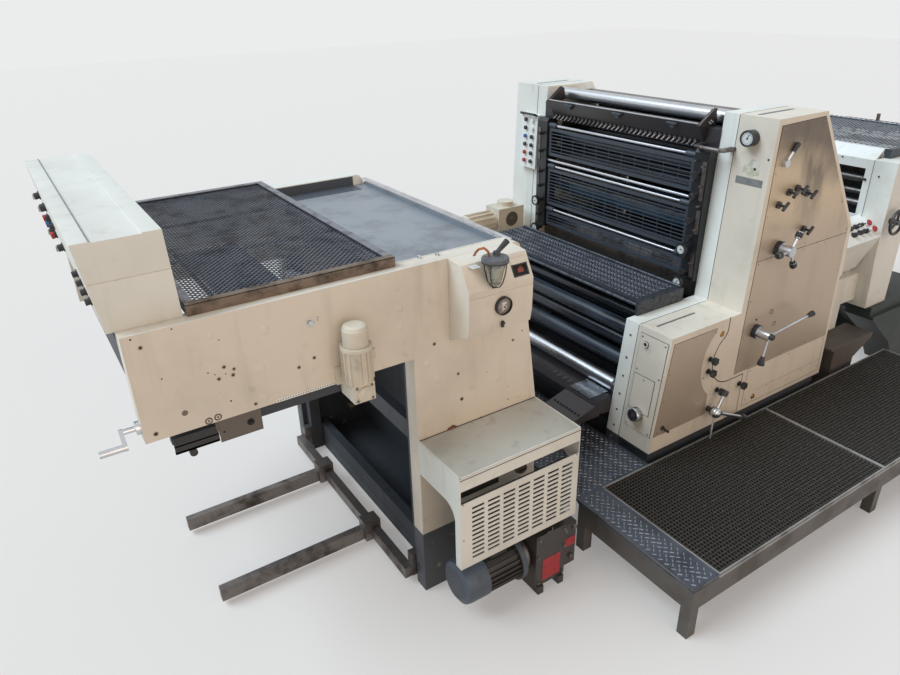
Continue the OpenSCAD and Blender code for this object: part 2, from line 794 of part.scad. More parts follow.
module tray_shelf() {
    y0 = del_op_y - tray_d;
    x1 = ped_back - 15;
    w = x1 - ped_front;
    sheet = 4;
    lip = 62;
    color("#cfcbc0") {
        block(ped_front, x1, y0, del_op_y - fit, tray_z - sheet, tray_z);
        block(ped_front, x1, y0, y0 + sheet, tray_z - lip, tray_z);
        block(ped_front, x1, del_op_y - 20, del_op_y - fit, tray_z - 30, tray_z);
        for (x = [ped_front, x1 - sheet])
            plate_x(x, x + sheet) difference() {
                translate([y0, tray_low]) square([tray_d - fit, tray_z - tray_low]);
                translate([del_op_y - 1, tray_low - 1]) mirror([1, 0])
                    square([tray_d - 37, 640 - 70 - tray_low]);
                translate([del_op_y - 1, 569 - 1]) mirror([1, 0])
                    square([tray_d - 37 - 70, 72]);
                translate([y0 + 36 + 70, 570]) circle(r = 70);
            }
        plate_y(y0, y0 + 3) difference() {
            translate([ped_front, tray_low]) square([w, grille_top - tray_low]);
            for (c = [0 : slot_cols - 1], r = [0 : slot_rows - 1])
                translate([ped_front + 54 + c * (w - 70) / slot_cols, tray_low + 34 + r * 22])
                    square([57, 11]);
        }
    }
}

module vacuum_pump() {
    axis_z = 180;
    color("#4c5358") {
        translate([pump_x, pump_y, axis_z]) rotate([0, 90, 0]) rotate_extrude()
            polygon([[0, 0], [70, 0], [92, 14], [96, 30], [96, 120], [0, 120]]);
        rod_x(pump_x + 115, pump_x + 290, pump_y, axis_z, 82);
        for (a = [0:15:359])
            translate([0, pump_y, axis_z]) rotate([a, 0, 0])
                block(pump_x + 118, pump_x + 286, -2.5, 2.5, 78, 94);
        rod_x(pump_x + 280, pump_x + 306, pump_y, axis_z, 104);
        rod_x(pump_x + 300, pump_x + 356, pump_y, axis_z, 62);
        rod_x(pump_x + 318, pump_x + 338, pump_y, axis_z, 74);
        block(pump_x + 350, pump_x + 512, pump_y - 100, pump_y + 100, 40, 320);
        block(pump_x + 505, pump_x + 587, pump_y - 84, pump_y + 84, 60, 290);
        for (x = [pump_x + 360, pump_x + 474])
            block(x, x + 30, pump_y - 110, pump_y + 110, 0, 42);
        rod_y(pump_y + 98, del_op_y - fit, pump_x + 430, 250, 22);
        block(pump_x + 156, pump_x + 236, pump_y - 40, pump_y + 40, axis_z + 70, axis_z + 118);
    }
}

module walkway_frame() {
    color("#4d4a46") {
        x0 = mat_joint - mat_l - strip_w;
        x1 = mat_joint + mat_l;
        z1 = walk_z - mat_t;
        z0 = z1 - 100;
        block(x0, x1, walk_out, walk_out + 50, z0, z1);
        block(x0, x1, mat_in - 60, mat_in - 10, z0, z1);
        for (x = [x0, mat_joint - mat_l - 25, mat_joint - 25, x1 - 50])
            block(x, x + 50, walk_out + 40, mat_in - 50, z0, z1);
        for (x = [x0, mat_joint - 25, x1 - 50], y = [walk_out, mat_in - 60])
            block(x, x + 50, y, y + 50, 0, z0);
        for (x = [mat_joint - mat_l, mat_joint]) {
            for (y = [walk_out, mat_in - rim_w])
                block(x + fit, x + mat_l - fit, y, y + rim_w, z1 - 1, walk_z);
            for (xr = [x + fit, x + mat_l - rim_w - fit])
                block(xr, xr + rim_w, walk_out, mat_in, z1 - 1, walk_z);
        }
    }
}

module chequer_plates() {
    x0 = mat_joint - mat_l - strip_w;
    color("#8b8d90") {
        block(x0, mat_joint - mat_l - fit, walk_out, mat_in + 1, walk_z - plate_t, walk_z);
        block(x0, mat_joint - mat_l - 4, walk_out, mat_in, walk_z - mat_t + fit,
              walk_z - plate_t + 1);
        block(x0, unit_foot - fit, mat_in + fit, del_in_dr, walk_z - plate_t, walk_z);
    }
}

module rubber_mats() {
    color("#3a332c") {
        for (x = [mat_joint - mat_l, mat_joint])
            block(x + rim_w + 2 * fit, x + mat_l - rim_w - 2 * fit, walk_out + rim_w + fit,
                  mat_in - rim_w - fit, walk_z - mat_t + fit, walk_z - 3);
    }
}

module feeder_frame() {
    color("#d9d3c4") {
        for (side = [0, 1]) mirror([0, side, 0]) {
            plate_y(-feed_half, -feed_in) polygon([
                [col_x + 43, ledge_z + fit], [col_x, 900], [col_x, feed_top],
                [feed_end, feed_top], [feed_end, ledge_z + fit], [feed_end - 110, ledge_z + fit],
                [feed_end - 110, 1180], [col_x + col_d + 60, 1180], [col_x + col_d, 1120],
                [col_x + col_d, ledge_z + fit]
            ]);
            block(tower_rear + 14 + fit, col_x - 110, -cast_y, -half, 0, 740);
            block(col_x - 111, col_x + 60, -max(cast_y, feed_in + feed_lap), -half, 560, 740);
        }
        for (x = [col_x + 490, feed_end - 190])
            rod_y(-feed_in, feed_in, x, 1300, 22);
    }
}

module feeder_front() {
    w = (2 * feed_in - 2 * fit - 4 * 40) / 3;
    color("#e3e2dc") {
        difference() {
            block(col_x + fit, col_x + 6, -feed_in + fit, feed_in - fit, 1000, feed_top - 14);
            for (i = [0:2])
                translate([col_x - 1, -feed_in + fit + 40 + i * (w + 40), 1101])
                    cube([8, w, 276]);
        }
        plate_y(-feed_in + fit, feed_in - fit) polygon([
            [col_x + fit, feed_top - 15], [col_x + fit, feed_top - 4],
            [col_x + mesh_run - fit, mesh_z], [col_x + mesh_run - fit, mesh_z - 60],
            [col_x + mesh_run - 6, mesh_z - 60], [col_x + mesh_run - 6, mesh_z - 12],
            [col_x + 12, feed_top - 15]
        ]);
    }
}

module feeder_mesh_top() {
    x0 = col_x + mesh_run;
    x1 = x0 + mesh_l;
    y1 = feed_in - 30;
    bar = 30;
    z0 = feed_top + fit;
    pitch = 128;
    color("#2d3134") {
        block(x0, x1, -feed_in - 40, -feed_in - 10, z0, mesh_z);
        block(x0, x1, feed_in + 10, feed_in + 40, z0, mesh_z);
        block(x0, x0 + bar, -feed_in - 20, feed_in + 20, mesh_z - 30, mesh_z);
        block(x1 - bar, x1, -feed_in - 20, feed_in + 20, mesh_z - 30, mesh_z);
        for (y = [-feed_in + pitch : pitch : y1])
            block(x0 + 20, x1 - 20, y, y + 3, mesh_z - 20, mesh_z - 17);
        for (x = [x0 + pitch : pitch : x1 - 40])
            block(x, x + 3, -feed_in - 20, feed_in + 20, mesh_z - 20, mesh_z - 17);
    }
}

module feeder_console() {
    x1 = col_x - fit;
    switches = [[-40, 30, 17], [-40, 78, 17], [-96, 28, 10], [-100, 76, 13], [-150, 30, 13],
                [-156, 74, 13], [-215, 32, 13], [-222, 76, 13]];
    color("#e1ddd2") {
        plate_x(x1 - feed_console_l, x1) polygon([
            [-half - 4, 1101], [-692, 1084], [-804, 1004], [-702, 779], [-half - 4, 746]
        ]);
        for (s = switches)
            translate([x1 + s[0], -692 - s[1] * cos(35.5), 1084 - s[1] * sin(35.5)])
                rotate([54.5, 0, 0]) button(s[2], 22);
    }
}

module feeder_base() {
    y0 = -feed_half - base_out;
    step_z = ledge_z - ledge_h;
    color("#2f4038") {
        for (side = [0, 1]) mirror([0, side, 0]) {
            plate_y(y0, -feed_in) polygon([
                [col_x + 73, step_z - 19], [col_x + 73, step_z], [feed_end + 40, step_z],
                [feed_end + 40, 0], [col_x + 500, 0], [col_x + 361, 213]
            ]);
            block(col_x + 75, feed_end + 20, -feed_half - 24, -feed_in, step_z - 1, ledge_z);
        }
        block(col_x + 600, feed_end + 40, -feed_in - 1, feed_in + 1, 0, 60);
        block(col_x + 480, feed_end - 200, -feed_in + 60, feed_in - 60, 300, 372);
        for (x = [col_x + 490, feed_end - 215], y = [-feed_in + 66, feed_in - 90])
            block(x, x + 6, y, y + 24, 371, 1277);
        for (x = [col_x + 700, feed_end - 400])
            block(x, x + 60, -120, 120, 59, 301);
    }
}

// Suction head over the rear edge of the pile of blank sheets
module suction_head() {
    x0 = col_x + mesh_run + mesh_l + 20;
    color("#5a6064") {
        block(x0, x0 + 50, -feed_in - 60, feed_in + 60, feed_top + fit, feed_top + 44);
        block(x0 + 60, x0 + 260, -210, 210, feed_top - 30, feed_top + 12);
        block(x0 + 30, x0 + 80, -180, 180, feed_top + 4, feed_top + 30);
        for (y = [-170, -60, 60, 170])
            rod_z(feed_top - 60, feed_top - 20, x0 + 100, y, 14);
        rod_z(feed_top + 40, feed_top + 96, x0 + 25, -130, 12);
    }
}

module step_box() {
    x1 = col_x + 15;
    x0 = x1 - 437;
    y0 = mat_in + 40;
    y1 = -cast_y - fit;
    color("#3a332e") {
        block(x0, x1, y0, y1, step_h - 14, step_h);
        plate_y(y0, y1) polygon([
            [x0 + 20, 0], [x0 + 250, 0], [x0 + 260, step_h - 120], [x1 - 6, step_h - 30],
            [x1 - 6, step_h - 13], [x0 + 20, step_h - 13]
        ]);
    }
}

module unit_door() {
    w = cover_t - 40;
    color("#cfc9bb")
        translate([unit_foot, 0, plinth_h]) rotate([0, lean_door, 0])
            translate([-panel_t - fit, -cover_y + 15, door_z]) {
                cube([panel_t, w, door_h]);
                translate([-2.5, 32, 103]) cube([3, w - 41, 184]);
                translate([1, 95, 87]) rotate([0, -90, 0]) bezel(27, 34);
                translate([1, 124, door_h - 46]) rotate([0, -90, 0]) bezel(15, 9);
            }
}

// A roller with journals that run in the side frames
module turning_roller(at, r) {
    rod_y(-half + roller_end, half - roller_end, at[0], at[1], r);
    rod_y(-half - frame_t + 10, half + frame_t - 10, at[0], at[1], journal_r);
}

module upper_roller() {
    color("#2a3a4a") turning_roller(drum_at, drum_r);
}

module lower_roller() {
    color("#c9ccd0") turning_roller(low_at, ink_r + 2);
}

module duct_roller() {
    color("#d0d3d6") turning_roller(duct_at, duct_r);
}

// A guard of horizontal wires that hangs from its hinge rod
module wire_guard(z_top, h) {
    difference() {
        union() {
            rod_y(-guard_w / 2, -guard_w / 2 + 60, guard_x, z_top, hinge_r + 6);
            rod_y(guard_w / 2 - 60, guard_w / 2, guard_x, z_top, hinge_r + 6);
            block(guard_x - 8, guard_x, -guard_w / 2, -guard_w / 2 + guard_bar, z_top - h, z_top);
            block(guard_x - 8, guard_x, guard_w / 2 - guard_bar, guard_w / 2, z_top - h, z_top);
            block(guard_x - 8, guard_x, -guard_w / 2, guard_w / 2, z_top - h,
                  z_top - h + guard_bar);
            block(guard_x - 8, guard_x, -guard_w / 2, guard_w / 2, z_top - 16 - guard_bar,
                  z_top - 16);
            for (z = [z_top - h + guard_bar + 10 : wire_pitch : z_top - 30 - guard_bar])
                block(guard_x - 7, guard_x - 2, -guard_w / 2, guard_w / 2, z, z + wire_t);
            for (y = [-guard_w / 2 + wire_pitch_y : wire_pitch_y : guard_w / 2 - 30])
                block(guard_x - 3, guard_x, y, y + 3, z_top - h, z_top - 17);
        }
        rod_y(-guard_w, guard_w, guard_x, z_top, hinge_r);
    }
}

module guard_upper() {
    color("#30353a") wire_guard(guard_top_z, 180);
}

module guard_middle() {
    color("#30353a") wire_guard(guard_mid_z, 240);
}

module guard_lower() {
    color("#30353a") wire_guard(guard_low_z, 100);
}

module tower_lever() {
    y = -cover_y - panel_t;
    color("#b8bcc0") {
        rod_y(y - 22, y - fit, lever_at[0], lever_at[1], 18);
        translate([lever_at[0], y - 11, lever_at[1]]) rotate([0, 42, 0]) cylinder(h = 66, r = 6);
        translate([lever_at[0], y - 11, lever_at[1]]) rotate([0, 42, 0])
            translate([0, 0, 62]) cylinder(h = 44, r1 = 8, r2 = 11);
    }
}

module long_lever() {
    y = -cover_y - panel_t;
    color("#b8bcc0") {
        rod_y(y - 30, y - fit, -305, 802, 34);
        rod_y(y - 96, y - 29, -305, 802, 26);
        translate([-305, y - 84, 802]) {
            rotate([0, 85, 0]) cylinder(h = 330, r = 7);
            rotate([0, 85, 0]) translate([0, 0, 316]) cylinder(h = 44, r1 = 9, r2 = 14);
            rotate([0, 190, 0]) cylinder(h = 118, r = 6);
            rotate([0, 190, 0]) translate([0, 0, 110]) cylinder(h = 46, r1 = 8, r2 = 17);
        }
    }
}

module star_handle() {
    y = -cover_y - panel_t;
    color("#b8bcc0") {
        rod_y(y - 30, y - fit, -245, 1230, 33);
        rod_y(y - 84, y - 29, -245, 1230, 26);
        for (a = [30, 150, 270])
            translate([-245, y - 72, 1230]) rotate([0, a, 0]) {
                cylinder(h = 84, r = 6);
                translate([0, 0, 70]) cylinder(h = 32, r = 15);
            }
    }
}

module delivery_guard() {
    x0 = lid_back - lid_l + 5;
    y0 = del_op_y + 38;
    y1 = del_dr_y - 30;
    z0 = del_top + fit;
    color("#5a5048") {
        block(x0, lid_back, y0, y0 + 30, z0, z0 + lid_bar);
        block(x0, lid_back, y1 - 30, y1, z0, z0 + lid_bar);
        block(x0, x0 + 30, y0 + 30, y1 - 30, z0, z0 + lid_bar);
        block(lid_back - 30, lid_back, y0 + 30, y1 - 30, z0, z0 + lid_bar);
        for (y = [y0 + 30 + lid_pitch : lid_pitch : y1 - 40])
            block(x0 + 30, lid_back - 30, y, y + 3, z0 + 10, z0 + 13);
        for (x = [x0 + 30 + lid_pitch : lid_pitch : lid_back - 40])
            block(x, x + 3, y0 + 30, y1 - 30, z0 + 10, z0 + 13);
    }
}

module pile_lift() {
    beam_x1 = fork_root + 40;
    color("#4a4038") {
        block(fork_root, beam_x1, del_in_op + 10, del_in_dr - 10, 34, fork_z);
        for (y = [del_mid - fork_gap / 2, del_mid + fork_gap / 2]) {
            block(fork_root - fork_l, fork_root, y - fork_w / 2, y + fork_w / 2,
                  fork_z - fork_h, fork_z);
            block(fork_root - 30, beam_x1 + 10, y - 36, y + 36, 20, fork_z + 34);
        }
        for (y = [del_in_op + 10, del_in_dr - 50])
            block(beam_x1 - 1, ped_front_in - fit, y, y + 40, 30, 150);
    }
}

module crank_handle() {
    color("#b8bcc0") {
        rod_x(del_end - 60, del_end - fit, del_op_y + 36, 1210, 9);
        rod_x(del_end - 14, del_end - fit, del_op_y + 36, 1210, 22);
        rod_x(del_end - 130, del_end - 50, del_op_y - 4, 1180, 11);
        hull() {
            rod_x(del_end - 62, del_end - 50, del_op_y + 36, 1210, 12);
            rod_x(del_end - 62, del_end - 50, del_op_y - 4, 1180, 12);
        }
    }
}

module feeder_handwheel() {
    x = handwheel_at[0];
    z = handwheel_at[1];
    color("#2a2c2e") {
        rod_y(-feed_half - 55, -feed_half - fit, x, z, 17);
        translate([x, -feed_half - 42, z]) rotate([90, 0, 0]) rotate_extrude()
            translate([wheel_r - 9, 0]) circle(r = 9, $fn = 24);
        for (a = [0, 120, 240])
            translate([x, -feed_half - 42, z]) rotate([0, a, 0]) cylinder(h = wheel_r - 10, r = 7);
        rod_y(-feed_half - 100, -feed_half - 42, x + (wheel_r - 12) * 0.71,
              z + (wheel_r - 12) * 0.71, 10);
    }
}

base_plinth();
side_frame_operator();
side_frame_drive();
tower_cover_operator();
tower_cover_drive();
unit_cover_operator();
unit_cover_drive();
brushed_panels();
tie_bars();
guard_cheeks();
press_cylinders();
ink_rollers();
ink_ducts();
footplate();
tower_fittings();
drive_gearmotor();
remote_panel();
delivery_frame_operator();
delivery_frame_drive();
delivery_cross_members();
delivery_deck();
console();
console_buttons();
lift_motor();
control_cabinet();
cabinet_fittings();
tray_shelf();
vacuum_pump();
walkway_frame();
chequer_plates();
rubber_mats();
feeder_frame();
feeder_front();
feeder_mesh_top();
feeder_console();
feeder_base();
suction_head();
step_box();
unit_door();
upper_roller();
lower_roller();
duct_roller();
guard_upper();
guard_middle();
guard_lower();
tower_lever();
long_lever();
star_handle();
delivery_guard();
pile_lift();
crank_handle();
feeder_handwheel();
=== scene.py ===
# %% [markdown]
# # Dressing a two-unit offset press
#
# The CAD frame gives every cover, roller and lever its place. This notebook gives them their
# finish and adds what the frame leaves out: wire meshes, screws, ribs, chequer lozenges, gauges
# and grips. Lengths are metres, +X runs to the feeder, -Y is the operator side.

# %% Start
import json
import math

import bmesh
import bpy
from mathutils import Matrix, Vector

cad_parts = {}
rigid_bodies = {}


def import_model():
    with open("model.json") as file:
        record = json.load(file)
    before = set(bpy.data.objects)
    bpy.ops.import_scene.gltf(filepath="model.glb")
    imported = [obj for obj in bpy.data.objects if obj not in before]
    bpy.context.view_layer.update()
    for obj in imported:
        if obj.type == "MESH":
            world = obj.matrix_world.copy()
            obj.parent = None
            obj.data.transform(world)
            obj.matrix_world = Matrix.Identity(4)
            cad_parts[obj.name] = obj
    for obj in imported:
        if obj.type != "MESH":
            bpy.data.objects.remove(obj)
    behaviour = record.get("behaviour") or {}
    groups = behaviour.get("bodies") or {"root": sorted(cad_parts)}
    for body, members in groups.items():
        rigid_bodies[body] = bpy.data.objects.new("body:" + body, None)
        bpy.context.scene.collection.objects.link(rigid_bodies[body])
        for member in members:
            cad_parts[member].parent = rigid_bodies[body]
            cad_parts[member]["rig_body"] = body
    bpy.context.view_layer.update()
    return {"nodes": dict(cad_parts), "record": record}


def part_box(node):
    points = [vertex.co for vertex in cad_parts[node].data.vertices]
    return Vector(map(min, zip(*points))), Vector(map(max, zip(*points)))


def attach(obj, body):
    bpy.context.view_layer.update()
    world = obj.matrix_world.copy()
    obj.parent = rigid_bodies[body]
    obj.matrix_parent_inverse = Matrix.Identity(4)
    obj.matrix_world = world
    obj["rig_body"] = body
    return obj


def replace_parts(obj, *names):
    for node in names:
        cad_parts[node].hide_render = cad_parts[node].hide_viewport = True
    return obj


UP, TO_OPERATOR, TO_DRIVE = (0, 0, 1), (0, -1, 0), (0, 1, 0)
TO_DELIVERY, TO_FEEDER = (-1, 0, 0), (1, 0, 0)
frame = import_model()

# %% [markdown]
# ## The camera
# The machine is seen from above, beside the delivery, so its uprights lean together. A camera
# is placed by where it stands and by the three turns of its view: yaw from +Y towards +X, pitch
# down, and a small roll.

# %% Camera
CAMERA_AT = Vector((-3.3288, -2.808, 2.400))
YAW, PITCH, ROLL = math.radians(32.397), math.radians(26.418), math.radians(1.475)
LENS_MM = 28.245

ahead = Vector((
    math.sin(YAW) * math.cos(PITCH),
    math.cos(YAW) * math.cos(PITCH),
    -math.sin(PITCH),
))
level_right = ahead.cross(Vector(UP)).normalized()
level_down = ahead.cross(level_right)
right = level_right * math.cos(ROLL) + level_down * math.sin(ROLL)
down = level_down * math.cos(ROLL) - level_right * math.sin(ROLL)

camera = bpy.data.objects.new("camera", bpy.data.cameras.new("camera"))
camera.data.lens = LENS_MM
camera.data.sensor_width = 36
camera.data.clip_end = 100
camera.matrix_world = Matrix.Translation(CAMERA_AT) @ Matrix((
    (right.x, -down.x, -ahead.x, 0),
    (right.y, -down.y, -ahead.y, 0),
    (right.z, -down.z, -ahead.z, 0),
    (0, 0, 0, 1),
))
bpy.context.scene.collection.objects.link(camera)
bpy.context.scene.camera = camera
print("camera looks along", [round(c, 3) for c in ahead])

# %% [markdown]
# ## Writing shader maths as sums
# A finish is mostly arithmetic on noise: how much dirt, how deep a scratch. Wiring Math nodes
# by hand hides that, so `Term` wraps one output socket and turns `1 - mask * 0.5` into nodes.
# `Finish` holds one material and has a single method that makes any other node.

# %% Terms and finishes
class Term:
    """One varying number or colour: an output socket with the usual operators."""

    def __init__(self, finish, socket):
        self.finish = finish
        self.socket = socket

    def maths(self, operation, *values):
        return self.finish.node("ShaderNodeMath", {"operation": operation},
                                dict(enumerate(values)))

    def __add__(self, other):
        return self.maths("ADD", self, other)

    def __sub__(self, other):
        return self.maths("SUBTRACT", self, other)

    def __rsub__(self, other):
        return self.maths("SUBTRACT", other, self)

    def __mul__(self, other):
        return self.maths("MULTIPLY", self, other)

    def __gt__(self, other):
        return self.maths("GREATER_THAN", self, other)

    def __lt__(self, other):
        return self.maths("LESS_THAN", self, other)

    __radd__ = __add__
    __rmul__ = __mul__

    def size(self):
        return self.maths("ABSOLUTE", self)

    def ramp(self, low, high):
        """0 below low, 1 above high, a smooth slope between."""
        values = {"Value": self, "From Min": low, "From Max": high}
        return self.finish.node("ShaderNodeMapRange", {"interpolation_type": "SMOOTHSTEP"},
                                values)


class Finish:
    """One procedural material, laid out on Object coordinates."""

    def __init__(self, name):
        self.material = bpy.data.materials.new(name)
        self.material.use_nodes = True
        self.tree = self.material.node_tree
        self.shader = self.tree.nodes["Principled BSDF"]
        self.place = self.node("ShaderNodeTexCoord", output="Object")

    def put(self, socket, value):
        if isinstance(value, Term):
            self.tree.links.new(value.socket, socket)
        else:
            socket.default_value = value

    def node(self, kind, settings=None, values=None, output=0):
        made = self.tree.nodes.new(kind)
        for key, value in (settings or {}).items():
            setattr(made, key, value)
        for key, value in (values or {}).items():
            self.put(made.inputs[key], value)
        return Term(self, made.outputs[output])

    def set(self, **values):
        for key, value in values.items():
            self.put(self.shader.inputs[key.replace("_", " ").title()], value)
        return self

    def colours(self, mask, first, second):
        """first where the mask is 0, second where it is 1."""
        return self.node("ShaderNodeMix", {"data_type": "RGBA"}, {0: mask, 6: first, 7: second},
                         output=2)

    def stretched(self, scale):
        return self.node("ShaderNodeMapping", None, {"Vector": self.place, "Scale": scale})

    def noise(self, scale, detail=2.0, roughness=0.5, stretch=None):
        where = self.stretched(stretch) if stretch else self.place
        values = {"Vector": where, "Scale": scale, "Detail": detail, "Roughness": roughness}
        return self.node("ShaderNodeTexNoise", None, values)

    def axis(self, name):
        return self.node("ShaderNodeSeparateXYZ", None, {0: self.place}, output=name)

    def bump(self, height, distance, strength=1.0):
        values = {"Height": height, "Distance": distance, "Strength": strength}
        normal = self.node("ShaderNodeBump", None, values)
        self.put(self.shader.inputs["Normal"], normal)
        return self


def tone(red, green, blue):
    """The linear colour of a screen colour given as 0 to 255."""
    def linear(value):
        value /= 255
        return value / 12.92 if value <= 0.04045 else ((value + 0.055) / 1.055) ** 2.4
    return (linear(red), linear(green), linear(blue), 1.0)


print("a mid grey paint is", [round(c, 3) for c in tone(128, 128, 128)[:3]])

# %% [markdown]
# ## Room: floor, sky and lamps
# The floor and the sky are plain and pale. They only look nearly white to the camera and in
# reflections; the light they give stays at a level where a paint renders as it is written. Cool
# soft light comes down from beyond the delivery and the drive side, so tops and delivery ends
# are bluish white; a warm low light fills the operator side.

# %% Room
FLOOR_HALF = 30.0


def either(tree, first, second):
    """1 where one of two sockets is 1."""
    larger = tree.nodes.new("ShaderNodeMath")
    larger.operation = "MAXIMUM"
    tree.links.new(first, larger.inputs[0])
    tree.links.new(second, larger.inputs[1])
    return larger.outputs[0]


def seen_only(tree, seen, lit):
    """Blends to the shader `seen` for camera, glossy and transmission rays."""
    rays = tree.nodes.new("ShaderNodeLightPath").outputs
    shown = either(tree, rays["Is Camera Ray"], rays["Is Glossy Ray"])
    shown = either(tree, shown, rays["Is Transmission Ray"])
    mix = tree.nodes.new("ShaderNodeMixShader")
    tree.links.new(shown, mix.inputs[0])
    tree.links.new(lit, mix.inputs[1])
    tree.links.new(seen, mix.inputs[2])
    return mix.outputs[0]


world = bpy.data.worlds.new("studio")
bpy.context.scene.world = world
world.use_nodes = True
sky = world.node_tree
sky.nodes["Background"].inputs["Color"].default_value = (0.86, 0.93, 1.0, 1)
sky.nodes["Background"].inputs["Strength"].default_value = 0.42
pale = sky.nodes.new("ShaderNodeBackground")
pale.inputs["Color"].default_value = (0.835, 0.84, 0.845, 1)
joined = seen_only(sky, pale.outputs[0], sky.nodes["Background"].outputs[0])
sky.links.new(joined, sky.nodes["World Output"].inputs["Surface"])

floor_mesh = bmesh.new()
bmesh.ops.create_grid(floor_mesh, x_segments=1, y_segments=1, size=FLOOR_HALF)
bmesh.ops.translate(floor_mesh, verts=floor_mesh.verts, vec=(0, 0, -0.002))
floor_data = bpy.data.meshes.new("floor")
floor_mesh.to_mesh(floor_data)
floor_mesh.free()
floor = bpy.data.objects.new("floor", floor_data)
bpy.context.scene.collection.objects.link(floor)
floor_paint = bpy.data.materials.new("pale floor")
floor_paint.use_nodes = True
ground = floor_paint.node_tree
matt = ground.nodes["Principled BSDF"]
matt.inputs["Base Color"].default_value = (0.54, 0.48, 0.43, 1)
matt.inputs["Roughness"].default_value = 0.9
glow = ground.nodes.new("ShaderNodeEmission")
glow.inputs["Color"].default_value = (0.24, 0.24, 0.24, 1)
both = ground.nodes.new("ShaderNodeAddShader")
ground.links.new(matt.outputs[0], both.inputs[0])
ground.links.new(glow.outputs[0], both.inputs[1])
ground.links.new(seen_only(ground, both.outputs[0], matt.outputs[0]),
                 ground.nodes["Material Output"].inputs["Surface"])
floor_data.materials.append(floor_paint)


def soft_sun(name, towards, energy, angle, colour):
    data = bpy.data.lights.new(name, "SUN")
    data.energy, data.angle, data.color = energy, angle, colour
    thing = bpy.data.objects.new(name, data)
    thing.rotation_euler = Vector(towards).to_track_quat("-Z", "Y").to_euler()
    bpy.context.scene.collection.objects.link(thing)


soft_sun("roof light", (0.56, -0.27, -0.78), 3.1, 0.7, (0.67, 0.84, 1.0))
soft_sun("hall light", (0.10, 0.95, -0.28), 1.05, 1.0, (1.0, 0.72, 0.50))
bpy.context.scene.view_settings.view_transform = "Standard"

# %% [markdown]
# ## Old machine paint
# The covers are stove-enamelled cream. Years of inky hands leave grey smudges, dust settles in
# low places, and small chips show dark primer. Large soft noise gives the smudges, a stretched
# noise the runs, a sharp one the chips, and a fine one the orange-peel of the enamel.

# %% Paints
FOOT_Z = 0.320


def worn_paint(name, clean, smudge, roughness=0.38, dirt=0.5, chips=0.5, foot=None,
               below=None, inside=None):
    """`foot` is the height up to which floor dirt climbs; `below` repaints under FOOT_Z, and
    `inside` paints the inner faces of the cast side frames dark, painted shade of the inside of
    the press."""
    f = Finish(name)
    cloud = f.noise(2.1, detail=5, roughness=0.6).ramp(0.44, 0.72)
    thumb = f.noise(14, detail=3).ramp(0.60, 0.78)
    runs = f.noise(5, detail=3, stretch=(3, 3, 0.35)).ramp(0.55, 0.80)
    grime = (cloud * 0.45 + thumb * 0.35 + runs * 0.4) * dirt
    if foot is not None:
        grime = grime + (1 - f.axis("Z").ramp(foot, foot + 0.18)) * 0.30 * dirt
    chip = f.noise(95, detail=2).ramp(0.755, 0.775) * (0.3 + cloud) * chips
    colour = f.colours(grime, clean, smudge)
    if below is not None:
        colour = f.colours(f.axis("Z") < FOOT_Z, colour, f.colours(thumb, below, smudge))
    # The inner faces of the side frames are painted dark: painted shade of the inside of the press.
    if inside is not None:
        colour = f.colours(f.axis("Y").size() < 0.6385, colour, f.colours(thumb, inside, smudge))
    colour = f.colours(chip, colour, tone(72, 64, 58))
    f.set(base_color=colour, roughness=grime * 0.22 + roughness + chip * 0.3)
    f.bump(f.noise(260, detail=1) * 0.35 - chip * 1.2, 0.0006, 0.25)
    return f.material


def dirty_metal(name, clean, stain, roughness, scale=9, metal=1.0, streak=(1, 1, 1), amount=0.6,
                grain=160):
    """Bare or plated metal with stains, and fine scratches along one axis."""
    f = Finish(name)
    stains = f.noise(scale, detail=5, roughness=0.62).ramp(0.42, 0.72) * amount
    lines = f.noise(grain, detail=3, stretch=streak)
    f.set(base_color=f.colours(stains, clean, stain), metallic=metal,
          roughness=stains * 0.30 + lines * 0.16 + roughness)
    f.bump(lines, 0.0004, 0.30)
    return f.material


CREAM = tone(226, 223, 212)
# The warm cream is the cream enamel made warmer and darker for the operator covers: painted warm
# shade.
SHADED_WARM_CREAM = tone(222, 210, 192)
SOOT = tone(150, 140, 124)
BASE_GREY = tone(54, 57, 62)
finishes = {
    "cream_paint": worn_paint("cream enamel", CREAM, SOOT, foot=0.30, below=BASE_GREY),
    "warm_cream": worn_paint("cream enamel with painted warm shade", SHADED_WARM_CREAM, SOOT, foot=0.30, below=BASE_GREY),
    "white_paint": worn_paint("white enamel", tone(232, 230, 222), SOOT, dirt=0.45),
    "plinth_grey": worn_paint("blue-grey base paint", BASE_GREY, tone(38, 38, 38),
                              roughness=0.55, dirt=0.9),
    "guard_black": worn_paint("slate guard paint", tone(60, 66, 74), tone(46, 45, 46),
                              roughness=0.42, dirt=0.7, chips=0.8),
    "angle_brown": worn_paint("worn brown angle", tone(82, 74, 67), tone(50, 40, 33),
                              roughness=0.60, dirt=1.0, chips=1.0),
    "motor_cream": worn_paint("motor cream", tone(216, 206, 186), tone(130, 118, 100),
                              dirt=0.8),
    "table_green": worn_paint("dark green base paint", tone(40, 50, 46), tone(24, 26, 24),
                              roughness=0.50, dirt=0.9),
    "pump_grey": worn_paint("oily pump paint", tone(62, 57, 54), tone(34, 28, 25),
                            roughness=0.42, dirt=1.2),
    "bright_steel": dirty_metal("chromed steel", tone(200, 202, 206), tone(122, 120, 118),
                                0.20, scale=7, streak=(0.2, 0.02, 0.2), amount=0.40),
    "worn_steel": dirty_metal("oily steel", tone(122, 116, 112), tone(58, 50, 44),
                              0.34, scale=7, metal=0.85, streak=(1, 0.1, 1), amount=0.9),
    "deck_steel": dirty_metal("scuffed deck sheet", tone(154, 160, 166), tone(108, 109, 112),
                              0.36, scale=4.5, metal=0.60, streak=(1, 0.2, 1)),
    "chequer_steel": dirty_metal("chequer plate", tone(90, 96, 106), tone(52, 54, 60),
                                 0.42, scale=6, metal=0.60, amount=0.8),
}


